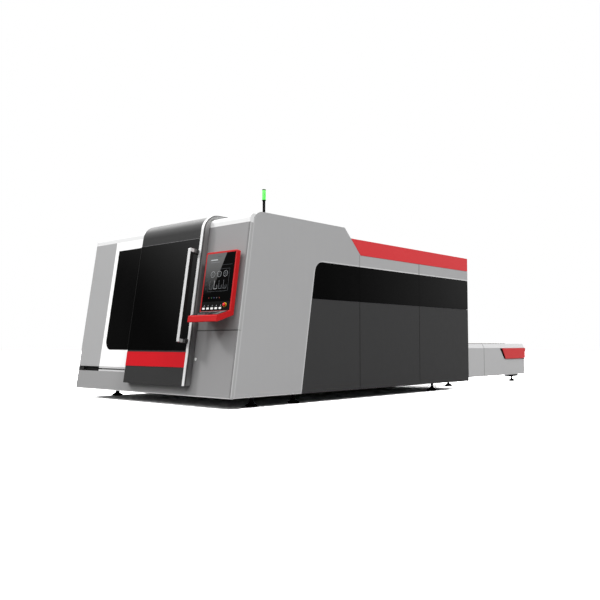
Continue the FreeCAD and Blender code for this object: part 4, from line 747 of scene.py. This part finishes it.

# Door tracks: pressed channels in the light paint.  The lower one runs on under the column, where
# it is painted black, a painted shade for the shadow gap under the column; a painted end plate
# with a black liner, a dark piece for the same shade, closes its slot at the corner.

COLUMN_EDGE, LOWER_TRACK_TOP = -1.087, 0.9
SLOT_LOW, SLOT_HIGH = up_wall(0.374), up_wall(0.437)
SLOT_DEPTH = -0.036
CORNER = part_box("front_column")[0][0]
track_coat, tree, shader, layer = powdered("track_coat", grey(0.50), sheen=0.45, specular=0.4)
# Painted shade: the track is black under the column, below the lower track's top.
painted_slot_shade = calc(tree, "MULTIPLY",
                ramp(tree, axes(tree)["X"], COLUMN_EDGE, COLUMN_EDGE + 0.002, 1.0, 0.0),
                ramp(tree, axes(tree)["Z"], LOWER_TRACK_TOP, LOWER_TRACK_TOP + 0.1, 1.0, 0.0))
dress(tree, shader, blend(tree, painted_slot_shade, layer["Color"], grey(0.004)),
      calc(tree, "MULTIPLY_ADD", painted_slot_shade, 0.3, layer["Roughness"]), layer["Height"], PEEL)
give(track_coat, "door_tracks")


def slot_block(left, right, top, soft):
    """A block in the slot between two places across, from the slot's depth up to its top."""
    outline = rounded(CORNER + left, CORNER + right, SLOT_LOW + 0.0004, SLOT_HIGH - 0.0004, 0.003)
    return cushioned(outline, SLOT_DEPTH, top, soft, on_wall)


new_piece("slot_end_plate", [slot_block(0.0, 0.018, 0.0, 0.003)], column_coat, "machine")
# The black liner is a dark piece standing in for the shade in the slot.
new_piece("slot_liner", [slot_block(0.018, 0.116, -0.014, 0.002)], sleeve_black, "machine")

# Joint seal: a rubber strip in the joint between the console's panel and the service cover, as
# wide as the bay and set back a little from the sheet's face.

SEAL_LEFT, SEAL_RIGHT = 0.8445, 1.590
SEAL_LOW, SEAL_HIGH = 0.7759, 0.7793
SEAL_BACK, SEAL_FACE = -0.050, -0.007
new_piece("joint_seal", [slab([(SEAL_LEFT, SEAL_LOW), (SEAL_RIGHT, SEAL_LOW),
                               (SEAL_RIGHT, SEAL_HIGH), (SEAL_LEFT, SEAL_HIGH)],
                              SEAL_BACK, SEAL_FACE, on_wall)],
          sleeve_black, "machine")

# Operator console: a red powder-coated housing with a black glass front.  The glass is paler
# left of a slanting line and round the keys, and shows a chart of rings and bars in plain light.

CONSOLE_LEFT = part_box("console_housing")[0][0]
CONSOLE_FACE = 0.090
WEDGE_TOP, WEDGE_SLANT, WEDGE_LEFT, WEDGE_RIGHT = 1.80, 0.42, 1.372, 1.378
KEYPAD_TOP = 1.094
give(coated("console_red", (0.44, 0.009, 0.011, 1.0), sheen=0.4, specular=0.25, Cloud=0.04,
            Dust=0.0), "console_housing")
screen_glass, tree, shader = surface("screen_glass", Specular_IOR_Level=0.03, Roughness=0.08)
slant = calc(tree, "ADD", axes(tree)["X"], calc(
    tree, "MULTIPLY", calc(tree, "SUBTRACT", WEDGE_TOP, axes(tree)["Z"]), WEDGE_SLANT))
wedge = calc(tree, "MULTIPLY", ramp(tree, slant, WEDGE_LEFT, WEDGE_RIGHT, 1.0, 0.0),
             ramp(tree, axes(tree)["Z"], 1.30, 1.75))
keypad = ramp(tree, use_group(tree, wall_frame)["Up"], KEYPAD_TOP, KEYPAD_TOP + 0.003, 1.0, 0.0)
plain = blend(tree, keypad, grey(0.0012), grey(0.008))
tree.links.new(blend(tree, wedge, plain, grey(0.118)), shader.inputs["Base Color"])
give(screen_glass, "console_screen")
display_light, tree, shader = surface("display_light", Roughness=0.35)
tint = add_node(tree, "Attribute", attribute_name="tint")
tree.links.new(tint.outputs["Color"], shader.inputs["Base Color"])

SCREEN_LEFT = CONSOLE_LEFT + 0.020
PRINT_LOW, PRINT_HIGH = 0.00005, 0.0004
PALE, MIDDLE, DIM = (0.42, 0.44, 0.45), (0.15, 0.16, 0.17), (0.04, 0.045, 0.05)
RING_LINE, HOLE_CIRCLE = 1.420, 0.024
marks, tints = [], []


def on_screen(across, up, out):
    """The screen's frame: across from its left edge, up the wall and out from its glass."""
    return on_wall(SCREEN_LEFT + across, up, CONSOLE_FACE + out)


def mark(shade, *shapes):
    """Adds printed shapes of one shade."""
    marks.extend(shapes)
    tints.extend([shade] * len(shapes))


def bar(left, low, right, high):
    """A thin printed bar on the console's glass."""
    return slab([(left, low), (right, low), (right, high), (left, high)], PRINT_LOW, PRINT_HIGH,
                on_screen)


def ring_mark(across, up, outer, inner, steps=28):
    """A flat ring: a small rectangle of outer and inner radius carried round a circle."""
    turn = np.linspace(0.0, 2 * math.pi, steps + 1)[:, None]
    radius = np.array([outer, outer, inner, inner])[None, :]
    out = np.array([PRINT_LOW, PRINT_HIGH, PRINT_HIGH, PRINT_LOW])[None, :] + 0.0 * turn
    return on_screen(across + radius * np.cos(turn), up + radius * np.sin(turn), out), True


def frame_mark(left, low, right, high, wide):
    """The four bars of a rectangle's outline."""
    return [bar(left, low, right, low + wide), bar(left, high - wide, right, high),
            bar(left, low + wide, left + wide, high - wide),
            bar(right - wide, low + wide, right, high - wide)]


# The chart: a frame round three flanges with their bolt holes, and four brackets under them.
mark(DIM, *frame_mark(0.075, 1.215, 0.425, 1.480, 0.003))
for middle in (0.140, 0.250, 0.360):
    mark(PALE, ring_mark(middle, RING_LINE, 0.036, 0.0335))
    mark(MIDDLE, ring_mark(middle, RING_LINE, 0.013, 0.0105))
    for turn in np.arange(6) * math.pi / 3:
        mark(DIM, ring_mark(middle + HOLE_CIRCLE * math.cos(turn),
                            RING_LINE + HOLE_CIRCLE * math.sin(turn), 0.0042, 0.002, 8))
for column in range(4):
    left = 0.100 + column * 0.080
    mark(PALE if column == 1 else MIDDLE, bar(left, 1.245, left + 0.0035, 1.345),
         bar(left + 0.0035, 1.245, left + 0.055, 1.2485),
         bar(left + 0.0515, 1.2485, left + 0.055, 1.290))
    mark(DIM, bar(left + 0.016, 1.262, left + 0.040, 1.2645),
         bar(left + 0.016, 1.276, left + 0.040, 1.2785))
# Status bars over the chart, a column of boxes at its left and coloured squares under it.
mark(PALE, bar(0.075, 1.588, 0.195, 1.600))
mark(MIDDLE, bar(0.082, 1.562, 0.240, 1.568))
mark(DIM, bar(0.190, 1.628, 0.262, 1.633), bar(0.040, 1.525, 0.460, 1.5275))
for row in range(5):
    low = 1.440 - row * 0.050
    mark(DIM, *frame_mark(0.028, low, 0.052, low + 0.024, 0.0025))
for column, shade in enumerate(((0.20, 0.02, 0.015), (0.03, 0.12, 0.05), (0.05, 0.06, 0.16),
                                (0.10, 0.10, 0.10), (0.18, 0.03, 0.02))):
    left = 0.110 + column * 0.046
    mark(shade, bar(left, 1.134, left + 0.012, 1.146))
# A small hook beside each push key.
for column in range(5):
    left = 0.027 + column * 0.072
    mark(PALE, bar(left + 0.012, 1.044, left + 0.030, 1.0465),
         bar(left + 0.024, 1.0465, left + 0.028, 1.0560))
new_piece("display_marks", marks, display_light, "machine", tints=tints)

# Push keys and stop button: five white caps in the glass, and a red mushroom on a yellow ring.
# The keys spring back; the mushroom goes in and stays.

give(coated("key_plastic", (0.80, 0.80, 0.79, 1.0), sheen=0.5, Cloud=0.02, Dust=0.0),
     *["push_key_%d" % number for number in range(1, 6)])
STOP_ACROSS, STOP_UP = CONSOLE_LEFT + 0.430, 1.050
DOME_FOOT, DOME_RADIUS, DOME_RISE = 0.1080, 0.0200, 0.0115


def lathe(profile, steps):
    """A profile of radius and height carried round: two offsets from the axis, and the height."""
    radius, height = np.asarray(profile, float).T[:, :, None]
    turn = np.linspace(0.0, 2 * math.pi, steps, endpoint=False)[None, :]
    return radius * np.cos(turn), radius * np.sin(turn), height + 0.0 * turn


def turned(profile):
    """The stop button's turned forms: a profile carried round its axis, out from the wall."""
    across, up, out = lathe(profile, 40)
    return on_wall(STOP_ACROSS + across, STOP_UP + up, out), True


dome = np.linspace(0.0, math.pi / 2, 9)
mushroom = np.concatenate([
    [(0.0, 0.0725), (0.0105, 0.0725), (0.0105, 0.0960), (0.0130, 0.0985), (0.0190, 0.1010),
     (DOME_RADIUS, 0.1030), (DOME_RADIUS, DOME_FOOT)],
    np.column_stack([DOME_RADIUS * np.cos(dome), DOME_FOOT + DOME_RISE * np.sin(dome)])[1:],
])
stop_red = coated("stop_red", (0.62, 0.008, 0.008, 1.0), sheen=0.22, Cloud=0.02, Dust=0.0)
stop_piece = new_piece("stop_mushroom", [turned(mushroom)], stop_red, "stop")
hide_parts("stop_button")
collar = [(0.0208, 0.0902), (0.0252, 0.0902), (0.0260, 0.0912), (0.0260, 0.0930),
          (0.0248, 0.0945), (0.0208, 0.0945), (0.0208, 0.0902)]
collar_yellow = coated("collar_yellow", (0.86, 0.55, 0.03, 1.0), sheen=0.4, Cloud=0.02, Dust=0.0)
new_piece("stop_collar", [turned(collar)], collar_yellow, "machine")

# Keyboard: a sealed industrial keyboard let into the red tray, dark letter keys with light keys
# round them and a light number block.

TRAY_BACK, TRAY_OUT = 0.981, 0.090
TRAY_FALL, TRAY_RUN = 0.086, 0.190
TRAY_LENGTH = math.hypot(TRAY_FALL, TRAY_RUN)
TRAY_LEFT = CONSOLE_LEFT + 0.038
BOARD_TOP, KEY_TOP = 0.0034, 0.0064
KEY_STEP, KEY_GAP, ROW_STEP, KEY_DEEP = 0.0232, 0.0035, 0.0252, 0.0215


def on_tray(across, down, rise):
    """The keyboard tray's frame: down runs along its slope from the glass, rise stands off it."""
    up = TRAY_BACK - down * TRAY_FALL / TRAY_LENGTH + rise * TRAY_RUN / TRAY_LENGTH
    out = TRAY_OUT + down * TRAY_RUN / TRAY_LENGTH + rise * TRAY_FALL / TRAY_LENGTH
    return on_wall(TRAY_LEFT + across, up, out)


def key_grid(left, down, steps_wide=1):
    """One key, one or more steps wide: a small plate with a rounded top edge."""
    right = left + KEY_STEP * steps_wide - KEY_GAP
    return cushioned(rounded(left, right, down, down + KEY_DEEP, 0.0022), BOARD_TOP, KEY_TOP,
                     0.0016, on_tray)


def key_coat(name, tone, **finish):
    """Matt plastic of the keyboard."""
    return coated(name, tone, sheen=0.55, specular=0.08, Cloud=0.1, Dust=0.0, **finish)


board = new_piece("keyboard_base", [cushioned(rounded(0.014, 0.483, 0.0154, 0.178, 0.006, 4),
                                              0.0002, BOARD_TOP, 0.0012, on_tray)],
                  key_coat("board_black", (0.006, 0.006, 0.007, 1.0)), "machine")
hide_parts("console_keyboard")
dark_keys, light_keys = [], []
for row in range(6):
    down = 0.0215 + row * ROW_STEP
    for column in range(19):
        left = 0.0195 + column * KEY_STEP + (0.004 if column > 14 else 0.0)
        if row == 5 and 4 <= column <= 9:
            if column == 4:
                light_keys.append(key_grid(left, down, 6))
            continue
        outer = row == 0 or column > 15 or (column + 3 * row) % 11 == 4
        (light_keys if outer else dark_keys).append(key_grid(left, down))
new_piece("keyboard_letter_keys", dark_keys, key_coat("key_dark", (0.008, 0.008, 0.009, 1.0)),
          "machine")
key_light = coated("key_light", (0.10, 0.10, 0.099, 1.0), sheen=0.5, specular=0.12, Cloud=0.05,
                   Dust=0.0)
new_piece("keyboard_side_keys", light_keys, key_light, "machine")

# Signal lamp: a ribbed green lens between a black foot and cap, on a black pole.  The pole stands
# in a sleeve that is screwed to the roof and reaches up to the lamp.

LAMP_LOW, LAMP_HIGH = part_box("signal_lamp")
LAMP_X, LAMP_Y = (LAMP_LOW[0] + LAMP_HIGH[0]) / 2, (LAMP_LOW[1] + LAMP_HIGH[1]) / 2
LAMP_FOOT = LAMP_LOW[2]
LENS_LOW, LENS_HIGH, LENS_RADIUS = 0.010, 0.128, 0.0216
RIBS, RIB_DEPTH = 28, 0.0008
SLEEVE_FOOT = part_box("signal_pole")[0][2] + 0.001
SLEEVE_LENGTH = LAMP_FOOT - 0.0015 - SLEEVE_FOOT


def upright(profile, base, across=LAMP_X, along=LAMP_Y, steps=36):
    """A turned form on an upright axis, whose profile's heights are measured from its base."""
    side, back, height = lathe(profile, steps)
    return np.stack([across + side, along + back, base + height], axis=-1), True


ribs = np.linspace(0.0, 1.0, 2 * RIBS + 1)
lens_wall = np.column_stack([LENS_RADIUS + RIB_DEPTH * np.cos(ribs * RIBS * 2 * math.pi),
                             LENS_LOW + ribs * (LENS_HIGH - LENS_LOW)])
lens_profile = np.concatenate([[(0.0, LENS_LOW)], lens_wall, [(0.0, LENS_HIGH)]])
lens_green, tree, shader = surface("lens_green", Roughness=0.25, Emission_Strength=0.36,
                                   Coat_Weight=0.3)
glow = blend(tree, ramp(tree, axes(tree)["Z"], LAMP_FOOT, LAMP_HIGH[2]),
             (0.10, 0.74, 0.10, 1.0), (0.20, 0.86, 0.18, 1.0))
for name in ("Base Color", "Emission Color"):
    tree.links.new(glow, shader.inputs[name])
lens = new_piece("lamp_lens", [upright(lens_profile, LAMP_FOOT)], lens_green, "machine",
                 smooth=70.0)
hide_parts("signal_lamp")
foot = [(0.0, 0.0), (0.0200, 0.0), (0.0232, 0.002), (0.0232, LENS_LOW), (0.0, LENS_LOW)]
cap = [(0.0, LENS_HIGH), (0.0230, LENS_HIGH), (0.0230, 0.134), (0.0205, 0.1385), (0.0, 0.1398)]
lamp_black = gloss_sheet("lamp_black", 0.003, 0.45, 0.12)
new_piece("lamp_foot_and_cap", [upright(foot, LAMP_FOOT), upright(cap, LAMP_FOOT)], lamp_black,
          "machine")
give(lamp_black, "signal_pole")
sleeve = [(0.0, 0.0), (0.0195, 0.0), (0.0195, 0.003), (0.0165, 0.006), (0.0165, SLEEVE_LENGTH),
          (0.0, SLEEVE_LENGTH)]
new_piece("pole_sleeve", [upright(sleeve, SLEEVE_FOOT)], lamp_black, "machine")

# Frame, bed and hopper: welded square tube and plate, sprayed grey, with spatter and soot where
# the cutting throws it.

soot, given = new_group(
    "soot", (("Amount", "Float", 0.5), ("Size", "Float", 14.0)),
    (("Mask", "Float"), ("Height", "Float")))
spots = add_node(soot, "TexVoronoi", feature="F1", Vector=surface_place(soot),
                 Scale=calc(soot, "MULTIPLY", given["Size"], 5.0))
patches = add_node(soot, "TexNoise", Detail=5.0, Roughness=0.65, Vector=surface_place(soot),
                   Scale=given["Size"])
spatter = ramp(soot, spots.outputs["Distance"], 0.08, 0.30, 1.0, 0.0)
patch = ramp(soot, patches.outputs["Fac"], 0.45, 0.72)
mask = calc(soot, "MULTIPLY", calc(soot, "ADD", calc(soot, "MULTIPLY", spatter, 0.5), patch),
            given["Amount"], use_clamp=True)
put_out(soot, Mask=mask, Height=calc(soot, "ADD", spatter, patch))


def sooted(name, tone, dirt, amount, size, shine=0.45, metallic=0.0, stretch=(120.0,) * 3):
    """Painted or bare steel that has soot and spatter on it."""
    material, tree, shader, base = ground(name, tone, shine, 0.2, stretch, Metallic=metallic)
    dirty = use_group(tree, soot, Amount=amount, Size=size)
    dress(tree, shader, blend(tree, dirty["Mask"], base["Color"], dirt),
          calc(tree, "MULTIPLY_ADD", dirty["Mask"], 0.35, base["Roughness"], use_clamp=True),
          dirty["Height"], 0.0004)
    return material


SOOT, RUST = (0.035, 0.030, 0.027, 1.0), (0.10, 0.045, 0.020, 1.0)
give(sooted("frame_spray", (0.20, 0.21, 0.22, 1.0), SOOT, 0.25, 5.0), "enclosure_frame")
give(sooted("bed_spray", (0.24, 0.26, 0.28, 1.0), SOOT, 0.45, 6.0), "machine_bed", "table_frame",
     "upper_pallet", "lower_pallet")
give(sooted("hopper_sheet", (0.16, 0.15, 0.14, 1.0), SOOT, 0.7, 9.0), "slag_hopper")
give(metal("ground_rail", (0.58, 0.58, 0.60, 1.0), 0.28, (300.0, 4.0, 300.0)), "gantry_rails",
     "pallet_rails")
give(sooted("slat_steel", (0.34, 0.32, 0.30, 1.0), RUST, 0.75, 16.0, 0.5, 0.8,
            (30.0, 30.0, 260.0)), "upper_slats", "lower_slats")

# Gantry and cutting head: machined aluminium beam and carriage, a black slide, and a head with a
# copper nozzle in a black collar.  The laser source stands in a painted cabinet.

HEAD_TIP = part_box("cutting_head")[0][2]
NOZZLE_TOP, COLLAR_TOP = HEAD_TIP + 0.0195, HEAD_TIP + 0.0435
give(metal("machined_aluminium", (0.60, 0.61, 0.63, 1.0), 0.34, (5.0, 240.0, 240.0)),
     "gantry_beam", "carriage")
give(coated("slide_black", (0.025, 0.025, 0.027, 1.0), Dust=0.0), "height_slide")
head_metal, tree, shader, layer = ground("head_metal", grey(1.0), 0.26, 0.12, (6.0, 6.0, 400.0))
over_nozzle = ramp(tree, axes(tree)["Z"], NOZZLE_TOP, NOZZLE_TOP + 0.001)
over_collar = ramp(tree, axes(tree)["Z"], COLLAR_TOP, COLLAR_TOP + 0.001)
tone = blend(tree, over_nozzle, (0.80, 0.36, 0.16, 1.0), grey(0.02))
tone = blend(tree, over_collar, tone, (0.66, 0.67, 0.69, 1.0))
dress(tree, shader, blend(tree, 1.0, layer["Color"], tone, "MULTIPLY"), layer["Roughness"],
      layer["Height"], 0.00002)
shiny = calc(tree, "MAXIMUM", calc(tree, "SUBTRACT", 1.0, over_nozzle), over_collar)
tree.links.new(shiny, shader.inputs["Metallic"])
give(head_metal, "cutting_head")
give(coated("source_coat", (0.50, 0.51, 0.52, 1.0), Dust=0.1), "laser_source")

# Exchange table: bent light covers along both sides and an end cover, screwed over welded beams.
# The side covers have one joint; the second place lies beyond the machine.

COVER_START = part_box("table_side_covers")[0][1]
COVER_JOINT, NO_JOINT = COVER_START + 1.6517, 9.0
give(coated("table_coat", (0.450, 0.450, 0.453, 1.0), Cloud=0.06,
            joints=("Y", COVER_JOINT, NO_JOINT)), "table_side_covers", "table_end_cover")

# Shuttle drive: steel sprockets on a cross shaft carry two dark roller chains, which a black
# geared motor drives.  A chain is a row of riveted links, each a pair of plates with a roller.

shaft_steel = metal("shaft_steel", (0.45, 0.45, 0.46, 1.0), 0.35, (4.0, 200.0, 200.0))
give(shaft_steel, "shuttle_drive_shaft", "shuttle_idlers")
give(coated("motor_black", (0.030, 0.031, 0.034, 1.0), sheen=0.45, Dust=0.1), "shuttle_motor")

LINKS = 266
CHAIN_SIDE = 0.856
PLATE_RADIUS, PLATE_THICK, ROLLER_RADIUS, ROLLER_HALF = 0.0044, 0.0010, 0.0040, 0.0046
OUTER_PLATE, INNER_PLATE = 0.0046, 0.0032
CHAIN_HALF = 0.005
CHAIN_LOW, CHAIN_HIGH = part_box("shuttle_chains")
CHAIN_MIDDLE = (CHAIN_LOW[2] + CHAIN_HIGH[2]) / 2
CHAIN_RADIUS = (CHAIN_HIGH[2] - CHAIN_LOW[2]) / 2 - CHAIN_HALF
CHAIN_START = CHAIN_LOW[1] + CHAIN_RADIUS + CHAIN_HALF
CHAIN_RUN = CHAIN_HIGH[1] - CHAIN_LOW[1] - 2 * (CHAIN_RADIUS + CHAIN_HALF)
CHAIN_TURN = math.pi * CHAIN_RADIUS
CHAIN_LENGTH = 2 * (CHAIN_RUN + CHAIN_TURN)


def chain_track(distance):
    """The place along the chain's line: two level runs joined by half circles."""
    first = distance < CHAIN_RUN
    second = (distance >= CHAIN_RUN) & (distance < CHAIN_RUN + CHAIN_TURN)
    third = (distance >= CHAIN_RUN + CHAIN_TURN) & (distance < 2 * CHAIN_RUN + CHAIN_TURN)
    far = (distance - CHAIN_RUN) / CHAIN_RADIUS
    near = (distance - 2 * CHAIN_RUN - CHAIN_TURN) / CHAIN_RADIUS
    along = np.select([first, second, third], [
        distance, CHAIN_RUN + CHAIN_RADIUS * np.sin(far), 2 * CHAIN_RUN + CHAIN_TURN - distance],
        -CHAIN_RADIUS * np.sin(near))
    up = np.select([first, second, third], [
        np.full_like(distance, CHAIN_RADIUS), CHAIN_RADIUS * np.cos(far),
        np.full_like(distance, -CHAIN_RADIUS)], -CHAIN_RADIUS * np.cos(near))
    return np.column_stack([CHAIN_START + along, CHAIN_MIDDLE + up])


pins = chain_track(np.arange(LINKS) * CHAIN_LENGTH / LINKS)
next_pins = np.roll(pins, -1, axis=0)
middle = (pins + next_pins) / 2
forward = next_pins - pins
forward /= np.linalg.norm(forward, axis=1, keepdims=True)
upward = np.column_stack([-forward[:, 1], forward[:, 0]])
half_pitch = CHAIN_LENGTH / LINKS / 2
plate_turn = np.linspace(0.0, 2 * math.pi, 12, endpoint=False)
plate = np.column_stack([
    np.sign(np.cos(plate_turn)) * half_pitch + PLATE_RADIUS * np.cos(plate_turn),
    PLATE_RADIUS * np.sin(plate_turn)])
roller_turn = np.linspace(0.0, 2 * math.pi, 8, endpoint=False)
roller = np.column_stack([-half_pitch + ROLLER_RADIUS * np.cos(roller_turn),
                          ROLLER_RADIUS * np.sin(roller_turn)])


def link_part(outline, low, high):
    """One part of every link: its outline is carried to each link's place and direction."""
    across = np.array([low, low, high, high])
    shrink = np.array([0.0, 1.0, 1.0, 0.0])
    centre = outline.mean(axis=0)
    rings = centre + (outline - centre) * shrink[:, None, None]
    flat = (middle[:, None, None, :] + rings[None, ..., :1] * forward[:, None, None, :]
            + rings[None, ..., 1:] * upward[:, None, None, :])
    side = np.broadcast_to(across[None, :, None, None], flat.shape[:3] + (1,))
    return np.concatenate([side, flat], axis=3)


chain_grids = []
outer_links = np.arange(LINKS) % 2 == 0
for chain_x in (CHAIN_SIDE, -CHAIN_SIDE):
    for start, shown in ((OUTER_PLATE, outer_links), (INNER_PLATE, ~outer_links)):
        for low in (chain_x - start - PLATE_THICK, chain_x + start):
            block = link_part(plate, low, low + PLATE_THICK)
            chain_grids.extend((grid, True) for grid in block[shown])
    block = link_part(roller, chain_x - ROLLER_HALF, chain_x + ROLLER_HALF)
    chain_grids.extend((grid, True) for grid in block)
chain_steel = metal("chain_steel", (0.16, 0.15, 0.14, 1.0), 0.4, (90.0, 90.0, 90.0), 0.4)
chains = new_piece("roller_chains", chain_grids, chain_steel, "machine")
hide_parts("shuttle_chains")

# Levelling feet: black pads and threaded studs with brackets.  A hexagon nut and a hexagon sleeve
# sit on each stud under the cabin, and a narrower sleeve on each stud under the table.

CONE_TOP, NUT_TOP, SLEEVE_TOP, TABLE_SLEEVE_TOP = 0.048, 0.062, 0.1295, 0.0945
NUT_RADIUS, SLEEVE_RADIUS, TABLE_SLEEVE_RADIUS = 0.034, 0.0225, 0.0215
CABIN_FEET, CABIN_FOOT_ROWS = 1.385, (0.545, 1.270, 4.525)
TABLE_FEET, TABLE_FOOT_ROWS = 0.978, (0.400, 2.848)
TABLE_START = COVER_START - 0.0003
foot_black = coated("foot_black", grey(0.004), sheen=0.6, specular=0.1, Dust=0.0)
give(foot_black, "levelling_feet")


def hexagon(radius, low, high, across, along):
    """A six-sided nut or sleeve between two heights."""
    length = high - low
    return upright([(0.0, 0.0), (radius, 0.0), (radius, length), (0.0, length)], low, across,
                   along, 6)


adjusters = []
for side in (1.0, -1.0):
    for row in CABIN_FOOT_ROWS:
        place = (side * CABIN_FEET, FRONT + row)
        adjusters.append(hexagon(NUT_RADIUS, CONE_TOP, NUT_TOP, *place))
        adjusters.append(hexagon(SLEEVE_RADIUS, NUT_TOP, SLEEVE_TOP, *place))
    for row in TABLE_FOOT_ROWS:
        adjusters.append(hexagon(TABLE_SLEEVE_RADIUS, CONE_TOP, TABLE_SLEEVE_TOP,
                                 side * TABLE_FEET, TABLE_START + row))
new_piece("foot_adjusters", adjusters, foot_black, "machine", smooth=20.0)

low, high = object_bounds()
